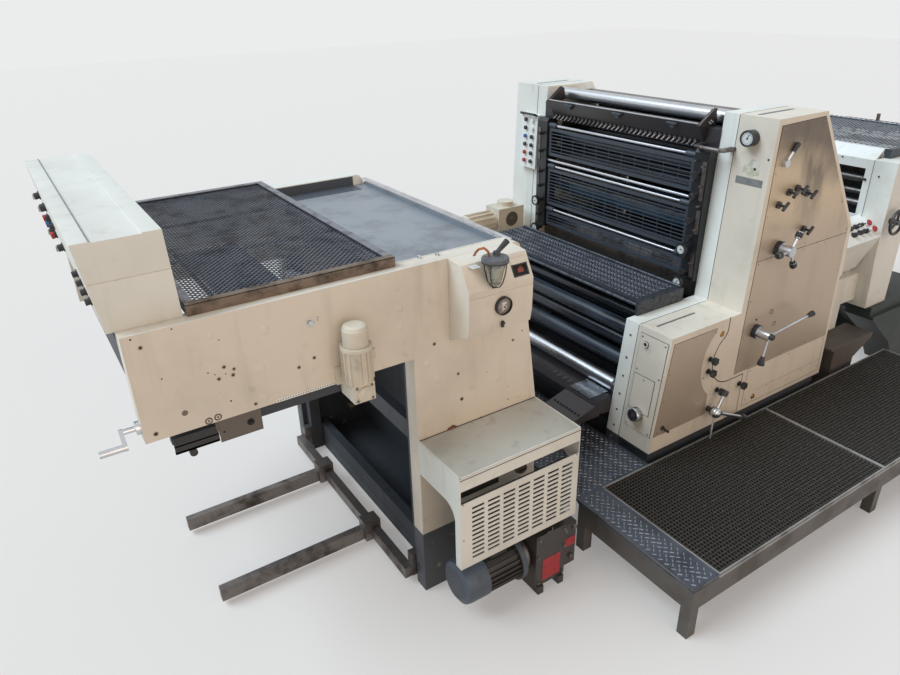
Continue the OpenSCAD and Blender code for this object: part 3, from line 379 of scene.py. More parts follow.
def inky_rubber(name, colour, sheen, roughness):
    f = Finish(name)
    # Where the ink film lies the rubber is glossier and turns to the lighter sheen colour: a painted
    # sheen.
    ink_film_and_sheen = f.noise(6, detail=5, stretch=(4, 0.35, 4)).ramp(0.40, 0.70)
    f.set(base_color=f.colours(ink_film_and_sheen, colour, sheen), roughness=ink_film_and_sheen * 0.25 + roughness)
    f.bump(f.noise(140, detail=2), 0.0002, 0.2)
    return f.material


def champagne():
    """Brushed panels: darker and streaked near the top of the tower, a bright band under them that
    is a painted highlight.
    """
    f = Finish("champagne panel")
    height = f.axis("Z")
    sway = f.noise(2.2, detail=4) * 0.34 + f.axis("X") * 0.35
    # Above 1.15 m the tone brightens into a band under the dark top: a painted highlight on the
    # metal.
    colour = f.colours(height.ramp(1.15, 1.50), tone(190, 172, 152), tone(204, 183, 154))
    colour = f.colours((height + sway).ramp(1.66, 1.86), colour, tone(122, 109, 96))
    streaks = f.noise(7, detail=5, stretch=(1, 1, 0.45)).ramp(0.50, 0.74)
    colour = f.colours(streaks * height.ramp(1.1, 1.7) * 0.75 + streaks * 0.12, colour,
                       tone(104, 93, 82))
    lines = f.noise(160, detail=3, stretch=(0.5, 30, 30))
    f.set(base_color=colour, metallic=0.55, roughness=lines * 0.16 + 0.34)
    f.bump(lines, 0.0003, 0.25)
    return f.material


finishes["brushed_panel"] = champagne()
finishes["roller_black"] = inky_rubber("inky black rubber", tone(26, 28, 32),
                                       tone(54, 62, 72), 0.20)
finishes["roller_blue"] = inky_rubber("inky blue rubber", tone(58, 98, 128), tone(120, 150, 172),
                                      0.16)


def moulded(name, colour, worn, roughness=0.45):
    f = Finish(name)
    wear = f.noise(60, detail=3).ramp(0.5, 0.75)
    f.set(base_color=f.colours(wear, colour, worn), roughness=wear * 0.2 + roughness)
    f.bump(f.noise(900, detail=1), 0.0002, 0.25)
    return f.material


finishes["button_black"] = moulded("black knob", tone(34, 34, 36), tone(70, 68, 66))
finishes["fitting_dark"] = moulded("dark fitting", tone(44, 44, 46), tone(92, 90, 88), 0.36)
finishes["mat_rubber"] = moulded("mat rubber", tone(50, 44, 38), tone(96, 84, 70), 0.70)
finishes["foot_dark"] = dirty_metal("speckled foot sheet", tone(78, 80, 86), tone(40, 40, 44),
                                    0.36, scale=40, metal=0.6, amount=0.9, grain=420)
button_red = moulded("red button", tone(168, 40, 44), tone(120, 50, 50))
button_blue = moulded("blue button", tone(44, 92, 146), tone(70, 100, 130))
button_white = moulded("white button", tone(206, 206, 202), tone(150, 148, 140))
brass = dirty_metal("dull brass", tone(176, 138, 84), tone(96, 76, 52), 0.32, scale=22)
copper = dirty_metal("copper tube", tone(178, 112, 78), tone(92, 64, 50), 0.30, scale=30)

cheek_black = worn_paint("inky black cheeks", tone(28, 30, 33), tone(52, 48, 44), roughness=0.36,
                         dirt=0.8, chips=0.8)
duct_black = worn_paint("inky duct blades", tone(52, 48, 50), tone(30, 27, 27), roughness=0.30,
                        dirt=1.0, chips=0.4)
# The side frames' enamel, with painted shade on their inner faces.
frame_paint_shaded_inside = worn_paint("frame enamel with painted shade inside", CREAM, SOOT, foot=0.30, below=BASE_GREY,
                         inside=tone(46, 48, 52))
special = {"guard_cheeks": cheek_black, "ink_ducts": duct_black,
           "side_frame_operator": frame_paint_shaded_inside, "side_frame_drive": frame_paint_shaded_inside}
slot_of = {row["node"]: row["material_slot"] for row in frame["record"]["subparts"]}
for name, thing in frame["nodes"].items():
    thing.data.materials.clear()
    thing.data.materials.append(special.get(name, finishes[slot_of[name]]))
print("finishes", len(finishes), "on", len(slot_of), "nodes")

# %% [markdown]
# ## Rounded sheet edges
# Folded and cast covers never have knife edges: a 3 to 6 mm round catches a thin highlight that
# tells the eye how big the cover is. Each node of `SOFT_EDGES` is copied, its loose triangles
# are merged back to clean faces, and a Bevel modifier rounds the copy, which stands for the node.

# %% Round the covers
def body_of_node(node):
    return frame["nodes"][node]["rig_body"]


def add_piece(name, mesh_data, finish, body):
    piece = bpy.data.objects.new(name, mesh_data)
    bpy.context.scene.collection.objects.link(piece)
    if not mesh_data.materials:
        mesh_data.materials.append(finish)
    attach(piece, body)
    return piece


def round_edges(piece, width, segments, degrees):
    bevel = piece.modifiers.new("rounding", "BEVEL")
    bevel.width = width
    bevel.segments = segments
    bevel.limit_method = "ANGLE"
    bevel.angle_limit = math.radians(degrees)
    bevel.harden_normals = True
    piece.data.shade_smooth()


def soften(node, width):
    """Stands a rounded copy of a node in its place."""
    shell = bmesh.new()
    shell.from_mesh(frame["nodes"][node].data)
    bmesh.ops.remove_doubles(shell, verts=shell.verts, dist=0.00002)
    bmesh.ops.dissolve_limit(shell, angle_limit=math.radians(0.6), verts=shell.verts,
                             edges=shell.edges)
    data = bpy.data.meshes.new(node + "_rounded")
    shell.to_mesh(data)
    shell.free()
    piece = add_piece(node + "_rounded", data, finishes[slot_of[node]], body_of_node(node))
    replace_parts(piece, node)
    round_edges(piece, width, COVER_STEPS, COVER_ANGLE)


COVER_STEPS, COVER_ANGLE = 3, 28
SOFT_EDGES = {
    "side_frame_operator": 0.004, "side_frame_drive": 0.004,
    "delivery_frame_operator": 0.004, "delivery_frame_drive": 0.004,
    "console": 0.004, "control_cabinet": 0.006, "feeder_frame": 0.006,
    "feeder_base": 0.005, "step_box": 0.003, "base_plinth": 0.003,
}
for node, width in SOFT_EDGES.items():
    soften(node, width)
print("rounded", len(SOFT_EDGES), "nodes")

# %% [markdown]
# ## A small set of shop tools
# Nearly every fitting here is turned, cut from bar, or cut from plate. `rod`, `slab` and
# `turned` make those three from bmesh operators, and `make` hands the finished mesh to the
# frame with its finish and the body it rides on.

# %% Shop tools
def place_at(at, towards=UP):
    """The matrix that puts a shape made along +Z at a point, facing a direction."""
    turn = Vector(towards).to_track_quat("Z", "Y").to_matrix().to_4x4()
    return Matrix.Translation(Vector(at)) @ turn


def slab(work, low, high):
    low, high = Vector(low), Vector(high)
    size = Matrix.Diagonal((*(high - low), 1))
    bmesh.ops.create_cube(work, size=1, matrix=Matrix.Translation((low + high) / 2) @ size)


def rod(work, start, end, radius, sides=12, end_radius=None):
    start, end = Vector(start), Vector(end)
    middle = place_at((start + end) / 2, end - start)
    bmesh.ops.create_cone(work, cap_ends=True, segments=sides, radius1=radius,
                          radius2=radius if end_radius is None else end_radius,
                          depth=(end - start).length, matrix=middle)


TURN_STEPS = 28


def turned(work, profile, at, towards, steps=TURN_STEPS):
    """Spins (radius, height) points round the axis that starts at a point."""
    lathe = bmesh.new()
    points = [lathe.verts.new((radius, 0, height)) for radius, height in profile]
    edges = [lathe.edges.new(pair) for pair in zip(points, points[1:])]
    bmesh.ops.spin(lathe, geom=points + edges, cent=(0, 0, 0), axis=UP, steps=steps,
                   angle=math.tau, use_merge=True, use_duplicate=False)
    bmesh.ops.remove_doubles(lathe, verts=lathe.verts, dist=0.00001)
    bmesh.ops.recalc_face_normals(lathe, faces=lathe.faces)
    bmesh.ops.transform(lathe, matrix=place_at(at, towards), verts=lathe.verts)
    shape = bpy.data.meshes.new("turned")
    lathe.to_mesh(shape)
    lathe.free()
    work.from_mesh(shape)
    bpy.data.meshes.remove(shape)


def around(count, radius):
    """Evenly spaced places on a circle about (0, 0)."""
    return [(math.cos(math.tau * i / count) * radius, math.sin(math.tau * i / count) * radius)
            for i in range(count)]


def run(work, points, radius, sides):
    """Rods from each point to the next."""
    for start, end in zip(points, points[1:]):
        rod(work, start, end, radius, sides)


def bearing(degrees):
    """A direction along the operator side, turned from straight up towards the feeder."""
    a = math.radians(degrees)
    return Vector((math.sin(a), 0, math.cos(a)))


def disc(radius, height, skirt=0.0):
    """The profile of a flat disc, for `turned`; a skirt widens its foot."""
    return [(0, height), (radius, height), (radius + skirt, 0)]


def collar(inner, outer, low, high, chamfer=0.002):
    """The profile of a ring round a shaft, with both its edges broken."""
    return [(inner, low), (outer, low + chamfer), (outer, high - chamfer), (inner, high)]


def make(name, work, finish, body="press", slot="worn_steel", smooth=35, bevel=0.0):
    """`finish` is a material, or the name of the slot whose own finish is used."""
    if isinstance(finish, str):
        finish, slot = finishes[finish], finish
    data = bpy.data.meshes.new(name)
    bmesh.ops.recalc_face_normals(work, faces=work.faces)
    work.to_mesh(data)
    work.free()
    piece = add_piece(name, data, finish, body)
    if bevel:
        round_edges(piece, bevel, 2, 40)
    elif smooth:
        data.shade_smooth()
        data.set_sharp_from_angle(angle=math.radians(smooth))
    return piece


def diamond_mesh(work, low, high, level, pitch, width, thick):
    """Crossing strands at 45 degrees, each cut off at the edges of a level rectangle."""
    across, along = high[1] - low[1], high[0] - low[0]
    for slant in (1, -1):
        offset = -across + pitch / 2
        while offset < along:
            begin = max(0.0, offset)
            end = min(along, offset + across)
            if end - begin > pitch:
                ys = [low[1] + (x - offset) if slant > 0 else high[1] - (x - offset)
                      for x in (begin, end)]
                z = level + slant * thick / 2
                start = Vector((low[0] + begin, ys[0], z))
                stop = Vector((low[0] + end, ys[1], z))
                place = place_at((start + stop) / 2, stop - start)
                size = Matrix.Diagonal((width, thick, (stop - start).length, 1))
                if abs(place.col[0].z) > 0.5:
                    size = Matrix.Diagonal((thick, width, (stop - start).length, 1))
                bmesh.ops.create_cube(work, size=1, matrix=place @ size)
            offset += pitch


print("a turned knob needs", TURN_STEPS, "steps for a round outline")

# %% [markdown]
# ## Working on a face
# Seams, screws and dials all lie on some flat face of the machine. A `Face` keeps that face as
# a matrix: u to the right, v upward, n outward. Details are then written as (u, v) in metres,
# just as on a drawing of that side.

# %% Faces
class Face:
    """A flat face: a corner, its upward direction, its outward normal and the body it is on."""

    def __init__(self, corner, up, outward, body="press"):
        n = Vector(outward).normalized()
        v = Vector(up).normalized()
        u = v.cross(n)
        self.matrix = Matrix.Translation(Vector(corner)) @ Matrix(
            ((u.x, v.x, n.x, 0), (u.y, v.y, n.y, 0), (u.z, v.z, n.z, 0), (0, 0, 0, 1)))
        self.outward = n
        self.body = body

    def at(self, u, v, height=0.0):
        return self.matrix @ Vector((u, v, height))

    def stroke(self, work, start, end, width=0.0016, height=0.0005, sink=0.0004):
        """A thin strip from one (u, v) to another, a little above the face."""
        start, end = Vector((*start, 0)), Vector((*end, 0))
        along = end - start
        turn = Matrix.Rotation(math.atan2(along.y, along.x), 4, "Z")
        size = Matrix.Diagonal((along.length + width, width, height + sink, 1))
        middle = Matrix.Translation((start + end) / 2 + Vector((0, 0, (height - sink) / 2)))
        bmesh.ops.create_cube(work, size=1, matrix=self.matrix @ middle @ turn @ size)

    def outline(self, work, points, width=0.0016, height=0.0005):
        for start, end in zip(points, points[1:] + points[:1]):
            self.stroke(work, start, end, width, height)

    def plate(self, work, low, high, height, sink=0.0004):
        """A plate from (u, v) to (u, v), standing off the face."""
        middle = Vector(((low[0] + high[0]) / 2, (low[1] + high[1]) / 2, (height - sink) / 2))
        size = Matrix.Diagonal((high[0] - low[0], high[1] - low[1], height + sink, 1))
        bmesh.ops.create_cube(work, size=1, matrix=self.matrix @ Matrix.Translation(middle) @ size)

    def turn(self, work, profile, u, v, steps=20):
        turned(work, profile, self.at(u, v), self.outward, steps)

    def screws(self, work, places, radius=0.0042, height=0.0020):
        for u, v in places:
            self.turn(work, [(0, height), (radius * 0.7, height * 0.85), (radius, 0)], u, v, 10)

    def dial(self, name, u, v, radius, lift=0.0, ticks=12, hand=50, knurls=0):
        """A white scale with dark ticks and a hand, and a knurled rim if asked."""
        scale, marks = bmesh.new(), bmesh.new()
        self.turn(scale, [(0, lift + 0.0006), (radius, lift + 0.0006), (radius, lift - 0.0002)],
                  u, v, 32)
        make(name + "_scale", scale, dial_white, self.body, "white_paint")
        raised = Face(self.at(u, v, lift + 0.0006), self.matrix.col[1].xyz, self.outward)
        for i in range(ticks):
            a = math.tau * i / ticks
            raised.stroke(marks, (math.sin(a) * radius * 0.74, math.cos(a) * radius * 0.74),
                          (math.sin(a) * radius * 0.92, math.cos(a) * radius * 0.92),
                          radius * 0.05, 0.0003)
        a = math.radians(hand)
        raised.stroke(marks, (0, 0), (math.sin(a) * radius * 0.66, math.cos(a) * radius * 0.66),
                      radius * 0.09, 0.0008)
        raised.turn(marks, [(0, 0.0016), (radius * 0.16, 0.0014), (radius * 0.16, 0)], 0, 0, 14)
        make(name + "_marks", marks, "button_black", self.body)
        if knurls:
            rim = bmesh.new()
            for c, s in around(knurls, radius + 0.006):
                self.plate(rim, (u + c - 0.0014, v + s - 0.0014), (u + c + 0.0014, v + s + 0.0014),
                           lift + 0.0045, 0.016)
            make(name + "_knurls", rim, "fitting_dark", self.body, smooth=0)


TOWER_FRONT = ((-0.435, 0, 0.930), (0.036, 0, 0.918), (-0.918, 0, 0.036))
UNIT_FRONT = ((-0.998, 0, 0.312), (0.072, 0, 0.618), (-0.618, 0, 0.072))


def walk(points, inset, spacing):
    """Evenly spaced places inside a convex outline, an inset away from its edges."""
    centre = sum((Vector(p) for p in points), Vector((0, 0))) / len(points)
    places = []
    for start, end in zip(points, points[1:] + points[:1]):
        start, end = Vector(start), Vector(end)
        along = (end - start).normalized()
        inward = Vector((-along.y, along.x))
        if inward.dot(centre - start) < 0:
            inward = -inward
        length = (end - start).length - 2 * inset
        count = max(1, round(length / spacing))
        for i in range(count):
            places.append(tuple(start + along * (inset + length * i / count) + inward * inset))
    return places


dial_white = moulded("dial white", tone(214, 214, 208), tone(170, 168, 160), 0.30)
seam_dark = moulded("open seam", tone(46, 40, 34), tone(74, 66, 56), 0.8)
screw_steel = dirty_metal("screw heads", tone(150, 144, 134), tone(84, 74, 62), 0.34, scale=60,
                          metal=0.8)
bare_plate = dirty_metal("bare name plate", tone(150, 150, 148), tone(110, 108, 104), 0.42,
                         scale=30, metal=0.6)
print("a face is a matrix; screws, seams and dials are laid out on it")

# %% [markdown]
# ## Delivery: the mesh guard over the pile
# The guard is a welded frame of angle, worn brown along the operator's edge and bright where
# hands lift it, filled with expanded metal. Diamonds 23 mm wide are too fine for the frame
# model, so the strands are laid here as flat bars, cut off at the frame.

# %% Mesh guard
guard_low, guard_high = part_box("delivery_guard")
FRAME_W = 0.030
edge_worn = dirty_metal("worn guard edge", tone(128, 112, 98), tone(70, 60, 52), 0.42, scale=12,
                        metal=0.6, streak=(0.1, 1, 1), amount=0.9)
galvanised = dirty_metal("bare guard rail", tone(136, 138, 144), tone(86, 84, 84), 0.38,
                         scale=16, metal=0.8, streak=(1, 0.1, 1), amount=0.7)
strand_steel = dirty_metal("dark expanded metal", tone(92, 97, 108), tone(50, 50, 52), 0.36,
                           scale=10, metal=0.75, amount=0.8)
x0, y0, z0 = guard_low
x1, y1, z1 = guard_high

rails = bmesh.new()
slab(rails, (x0, y0, z0), (x1, y0 + 0.006, z1))
slab(rails, (x0, y0, z1 - 0.005), (x1, y0 + FRAME_W, z1))
make("guard_near_rail", rails, edge_worn, "delivery_guard", "angle_brown", bevel=0.0012)
rails = bmesh.new()
slab(rails, (x0, y1 - 0.006, z0), (x1, y1, z1))
slab(rails, (x0, y1 - FRAME_W, z1 - 0.005), (x1, y1, z1))
slab(rails, (x1 - 0.006, y0 + 0.006, z0), (x1, y1 - 0.006, z1))
slab(rails, (x1 - FRAME_W, y0 + FRAME_W, z1 - 0.005), (x1 - 0.006, y1 - FRAME_W, z1))
slab(rails, (x0, y0 + 0.006, z0), (x0 + 0.006, y1 - 0.006, z1))
slab(rails, (x0 + 0.006, y0 + FRAME_W, z1 - 0.005), (x0 + FRAME_W, y1 - FRAME_W, z1))
make("guard_far_rails", rails, galvanised, "delivery_guard", "angle_brown", bevel=0.0012)
strands = bmesh.new()
diamond_mesh(strands, (x0 + 0.008, y0 + 0.008), (x1 - 0.008, y1 - 0.008), z1 - 0.010, 0.023,
             0.0048, 0.0022)
for y in (y0 + (y1 - y0) / 3, y0 + 2 * (y1 - y0) / 3):
    slab(strands, (x0 + 0.006, y - 0.006, z1 - 0.020), (x1 - 0.006, y + 0.006, z1 - 0.0135))
guard_mesh = make("guard_mesh", strands, strand_steel, "delivery_guard", "guard_black",
                  smooth=0)
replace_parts(guard_mesh, "delivery_guard")
print("strand faces", len(guard_mesh.data.polygons))

# %% [markdown]
# ## Delivery: holes, plugs and studs in the operator plate
# The cast plate is drilled for other equipment. Empty holes are flat dark discs, painted shade
# for their depth; spare bores are closed by painted plugs that stand a little proud, and a few
# are ringed by bare washers. Each kind is one joined piece of small turned shapes.

# %% Plate furniture
PLATE_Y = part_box("delivery_frame_operator")[0][1]
OPEN_HOLES = [
    (-3.107, 1.484, 4), (-3.128, 1.516, 3), (-3.013, 1.518, 2.5), (-2.885, 1.445, 2),
    (-3.070, 1.368, 2.5), (-2.936, 1.345, 2.5), (-2.916, 1.333, 2), (-2.885, 1.350, 4),
    (-2.884, 1.325, 2), (-2.856, 1.334, 3.5), (-2.862, 1.314, 4), (-2.907, 1.314, 4),
    (-2.588, 1.291, 4), (-2.645, 1.272, 4), (-2.883, 1.225, 3), (-2.807, 1.187, 4),
    (-3.122, 1.191, 5), (-2.559, 1.433, 2), (-2.560, 1.424, 2), (-2.115, 1.202, 5),
    (-1.743, 1.110, 4), (-1.697, 1.140, 3), (-2.011, 1.041, 4), (-2.091, 1.053, 2),
    (-1.872, 1.005, 2), (-1.996, 0.920, 6), (-1.763, 0.837, 3), (-1.764, 0.900, 2),
]
PLUGS = [
    (-2.909, 1.463, 11), (-2.774, 1.305, 20), (-2.742, 1.438, 17), (-2.776, 1.200, 16),
    (-2.254, 1.385, 15), (-2.256, 1.310, 13), (-2.260, 1.461, 10), (-2.146, 1.128, 13),
    (-2.103, 1.051, 18), (-1.709, 0.838, 13), (-1.669, 0.828, 9),
]
RINGS = [(-3.027, 1.232, 8), (-2.932, 1.182, 11), (-2.962, 1.178, 11)]
MM = 0.001


def on_plate(x, z):
    return (x, PLATE_Y, z)


# Holes are flat near-black discs: painted shade standing for the depth of a hole.
hole_shade_black = moulded("painted hole shade", tone(22, 20, 18), tone(40, 34, 28), 0.8)
work = bmesh.new()
for x, z, r in OPEN_HOLES:
    turned(work, disc(r * MM, 0.0004), on_plate(x, z), TO_OPERATOR, 14)
make("plate_bores", work, hole_shade_black, slot="fitting_dark")
washer_tan = moulded("painted washers", tone(172, 156, 134), tone(110, 98, 82), 0.5)
work = bmesh.new()
for x, z, r in OPEN_HOLES:
    if r > 3:
        r *= MM
        turned(work, [(r, 0), (r, 0.0008), (r + 0.002, 0.0010), (r + 0.0035, 0)],
               on_plate(x, z), TO_OPERATOR, 18)
make("plate_washers", work, washer_tan, slot="warm_cream")
work = bmesh.new()
for x, z, r in RINGS:
    r *= MM
    turned(work, [(r - 0.003, 0), (r - 0.003, 0.0012), (r, 0.0016), (r + 0.0015, 0)],
           on_plate(x, z), TO_OPERATOR, 24)
    turned(work, disc(0.003, 0.002, 0.0005), on_plate(x, z), TO_OPERATOR, 12)
make("plate_rings", work, moulded("ring grooves", tone(96, 84, 70), tone(60, 52, 44)),
     slot="fitting_dark")
work = bmesh.new()
for x, z, r in PLUGS:
    r *= MM
    turned(work, [(0, 0.0018), (r - 0.002, 0.0016), (r, 0.0004), (r + 0.0006, 0)],
           on_plate(x, z), TO_OPERATOR, 32)
make("plate_plugs", work, "warm_cream")
work = bmesh.new()
turned(work, [(0, 0.020), (0.007, 0.020), (0.0095, 0.017), (0.0095, 0.008), (0.006, 0.007),
              (0.006, 0.003), (0.0125, 0.002), (0.0125, 0)], on_plate(-2.589, 1.424), TO_OPERATOR)
for x, y in ((-2.128, -0.722), (-2.059, -0.734)):
    turned(work, disc(0.007, 0.010, 0.001), (x, y, 1.527), UP, 14)
make("plate_stud", work, "bright_steel")

# %% [markdown]
# ## Delivery: sheet lips and the drilled strip
# Two thin white lips run along the top of the plate. Below, a strip with a row of small holes
# lies along the bottom edge of the beam.

# %% Lips
work = bmesh.new()
TOP_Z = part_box("delivery_frame_operator")[1][2]
slab(work, (-3.140, PLATE_Y, TOP_Z - 0.0002), (-2.060, PLATE_Y + 0.004, TOP_Z + 0.0010))
slab(work, (-2.235, PLATE_Y + 0.068, TOP_Z - 0.0002), (-1.765, PLATE_Y + 0.0715, TOP_Z + 0.002))
make("plate_top_lips", work, "white_paint")
work = bmesh.new()
slab(work, (-2.739, PLATE_Y - 0.0016, 1.1665), (-2.505, PLATE_Y + 0.0002, 1.1785))
make("drilled_strip", work, "white_paint")
STRIP_HOLES, STRIP_PITCH = 26, 0.009
work = bmesh.new()
# The holes are flat near-black discs: painted shade.
for i in range(STRIP_HOLES):
    turned(work, disc(0.0022, 0.0018), (-2.732 + i * STRIP_PITCH, PLATE_Y, 1.1725), TO_OPERATOR, 8)
make("drilled_strip_holes", work, hole_shade_black, slot="fitting_dark")

# %% [markdown]
# ## Delivery: what shows through the mesh
# Under the guard the pile is steadied by a perforated plate and a pale bracket.

# %% Inside the delivery
work = bmesh.new()
slab(work, (-2.700, -0.066, 1.3012), (-2.434, 0.542, 1.3030))
perforated = dirty_metal("perforated jogger plate", tone(112, 116, 124), tone(70, 70, 72), 0.42,
                         scale=8, metal=0.7)
make("jogger_plate", work, perforated, slot="worn_steel")
JOGGER_COLUMNS, JOGGER_ROWS = 17, 36
COLUMN_PITCH, ROW_STEP = 0.0152, 0.0165
# The perforations are flat near-black discs: painted shade of the holes.
work = bmesh.new()
for i in range(JOGGER_COLUMNS):
    for j in range(JOGGER_ROWS):
        x = -2.690 + i * COLUMN_PITCH + (j % 2) * COLUMN_PITCH / 2
        if x < -2.440:
            turned(work, disc(0.0042, 0.0008), (x, -0.055 + j * ROW_STEP, 1.3026), UP, 8)
make("jogger_plate_holes", work, hole_shade_black, slot="fitting_dark")
work = bmesh.new()
slab(work, (-2.420, -0.060, 1.300), (-2.330, -0.030, 1.304))
slab(work, (-2.420, -0.060, 1.2992), (-2.416, -0.030, 1.330))
slab(work, (-2.380, -0.120, 1.2990), (-2.340, 0.020, 1.3025))
make("jogger_bracket", work, "white_paint", bevel=0.0008)

# %% [markdown]
# ## Walkway: grid mats, bare edges and chequer plate
# A rubber grid mat is a lattice of bars over a thin sheet, so the holes are real; the sheet in
# them is near black, dirt with painted shade. The chequer plate carries lozenges that are rolled
# into the steel, turned left and right by turns; feet have polished their tops.

# %% Walkway
MAT_BAR, MAT_PITCH = 0.0056, 0.0185
mat_low, mat_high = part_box("rubber_mats")
walk_low, walk_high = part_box("walkway_frame")
WALK_Z = walk_high[2]
MAT_JOINT = (mat_low[0] + mat_high[0]) / 2
RIM = 0.0086

mat_top = moulded("mat bars", tone(44, 40, 35), tone(76, 68, 60), 0.66)
# The sheet under the bars is near black: dirt, and painted shade in the holes of the mat.
mat_dirt_and_shade = moulded("dirt and painted shade under the mat", tone(12, 11, 10), tone(22, 19, 17), 0.9)
sheets, bars = bmesh.new(), bmesh.new()
for x0, x1 in ((mat_low[0], MAT_JOINT - RIM), (MAT_JOINT + RIM, mat_high[0])):
    y0, y1 = mat_low[1], mat_high[1]
    slab(sheets, (x0, y0, mat_low[2]), (x1, y1, WALK_Z - 0.015))
    x = x0 + MAT_BAR
    while x < x1 - MAT_BAR:
        slab(bars, (x, y0, WALK_Z - 0.0155), (x + MAT_BAR, y1, WALK_Z - 0.0030))
        x += MAT_PITCH
    y = y0 + MAT_BAR
    while y < y1 - MAT_BAR:
        slab(bars, (x0, y, WALK_Z - 0.0152), (x1, y + MAT_BAR, WALK_Z - 0.0033))
        y += MAT_PITCH
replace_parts(make("mat_bars", bars, mat_top, slot="mat_rubber", smooth=0), "rubber_mats")
make("mat_sheets", sheets, mat_dirt_and_shade, slot="mat_rubber", smooth=0)


def lozenges(work, low, high, z, pitch, length, width, height):
    """Staggered rows of raised lozenges that turn left and right by turns."""
    row = 0
    y = low[1] + pitch / 2
    while y < high[1] - pitch / 3:
        x = low[0] + pitch / 2 + (row % 2) * pitch / 2
        column = 0
        while x < high[0] - pitch / 3:
            turn = Matrix.Rotation(math.radians(45 if (column + row) % 2 else -45), 4, "Z")
            size = Matrix.Diagonal((length / 2, width / 2, height, 1))
            bmesh.ops.create_cone(work, cap_ends=True, segments=8, radius1=1, radius2=0.62,
                                  depth=1, matrix=Matrix.Translation((x, y, z)) @ turn @ size)
            x += pitch
            column += 1
        y += pitch / 2
        row += 1


lozenge_steel = dirty_metal("polished lozenges", tone(156, 160, 166), tone(96, 96, 98), 0.30,
                            scale=12, metal=0.75, amount=0.7)
work = bmesh.new()
plate_low, plate_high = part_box("chequer_plates")
STRIP_X1 = mat_low[0] - RIM - 0.004
PLATE_LOZENGE = (0.034, 0.025, 0.0075, 0.0028)
FOOT_LOZENGE = (0.024, 0.018, 0.0052, 0.0018)
lozenges(work, (plate_low[0] + 0.004, walk_low[1] + 0.004), (STRIP_X1, -0.938), WALK_Z,
         *PLATE_LOZENGE)
lozenges(work, (plate_low[0] + 0.004, -0.932), (plate_high[0] - 0.004, plate_high[1] - 0.01),
         WALK_Z, *PLATE_LOZENGE)
make("plate_lozenges", work, lozenge_steel, slot="chequer_steel")
foot_low, foot_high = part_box("footplate")
work = bmesh.new()
lozenges(work, (foot_low[0] + 0.012, foot_low[1] + 0.02),
         (foot_high[0] - 0.04, foot_high[1] - 0.02), foot_high[2], *FOOT_LOZENGE)
foot_steel = dirty_metal("worn foot lozenges", tone(112, 116, 124), tone(66, 66, 70), 0.36,
                         scale=9, metal=0.6, amount=0.8)
make("foot_lozenges", work, foot_steel, slot="foot_dark")


def edged(name, under, over, level, roughness, metal):
    """A finish that changes at one height: paint below, rubbed bare steel above."""
    f = Finish(name)
    bare = f.axis("Z") > level
    dirt = f.noise(7, detail=5).ramp(0.42, 0.72) * 0.7
    colour = f.colours(bare, f.colours(dirt, under, tone(60, 50, 42)),
                       f.colours(dirt, over, tone(116, 112, 108)))
    f.set(base_color=colour, metallic=bare * metal, roughness=dirt * 0.2 + roughness)
    f.bump(f.noise(200, detail=2), 0.0003, 0.3)
    return f.material


frame["nodes"]["walkway_frame"].data.materials[0] = edged(
    "walkway angle", tone(84, 78, 72), tone(160, 158, 154), WALK_Z - 0.0225, 0.44, 0.6)
work = bmesh.new()
slab(work, (plate_low[0] - 0.0004, walk_low[1] - 0.0030, WALK_Z - 0.006),
     (walk_high[0], walk_low[1] + 0.0002, WALK_Z + 0.0004))
slab(work, (plate_low[0] - 0.0030, walk_low[1] - 0.0030, WALK_Z - 0.006),
     (plate_low[0] + 0.0002, -0.935, WALK_Z + 0.0004))
make("walkway_edge", work, "worn_steel", bevel=0.0008)
print("lozenges on", plate_low, plate_high)

# %% [markdown]
# ## Tower: panels, seams and screws
# The operator side carries flat champagne panels in a cream frame. Each panel has a dark gap
# round it and small screws inside its edge.

# %% Tower panels
PANEL_Y, COVER_Y = -0.927, -0.924
PANEL_GAP, BEND_STEPS = 0.0030, 12
side = Face((0, PANEL_Y, 0), UP, TO_OPERATOR)
cover = Face((0, COVER_Y, 0), UP, TO_OPERATOR)
UPPER = [(-0.385, 1.191), (-0.375, 1.818), (-0.050, 1.826), (0.370, 1.226), (0.370, 1.191)]
LOWER = [(-0.409, 0.578), (-0.386, 1.186), (0.370, 1.186), (0.396, 0.578)]
BELOW = [(-0.292, 0.345), (-0.292, 0.572), (0.392, 0.572), (0.401, 0.345)]
gaps, heads = bmesh.new(), bmesh.new()
cover.outline(gaps, UPPER, PANEL_GAP)
cover.outline(gaps, LOWER, PANEL_GAP)
cover.outline(gaps, BELOW, 0.0016)
cover.stroke(gaps, (-0.204, 0.416), (0.398, 0.418), 0.0008)
NOTCH = [(-0.978, 0.412), (-0.907, 0.897), (-0.607, 0.897)]
for begin, end in ((NOTCH[0], NOTCH[1]), (NOTCH[1], NOTCH[2]), (NOTCH[0], (-0.607, 0.412)),
                   (NOTCH[2], (-0.607, 0.883))):
    cover.stroke(gaps, begin, end, PANEL_GAP)
seam_and_edge_shadow = [(-0.517, 0.929), (-0.517, 0.8735)]
BENDS = (((-0.577, 0.8735), 0.060, 0, -53), ((-0.452, 0.706), 0.149, 127, 270))
for middle, radius, first, last in BENDS:
    for i in range(BEND_STEPS + 1):
        a = math.radians(first + (last - first) * i / BEND_STEPS)
        seam_and_edge_shadow.append((middle[0] + radius * math.cos(a), middle[1] + radius * math.sin(a)))
seam_and_edge_shadow += [(-0.331, 0.557), (-0.331, 0.318)]
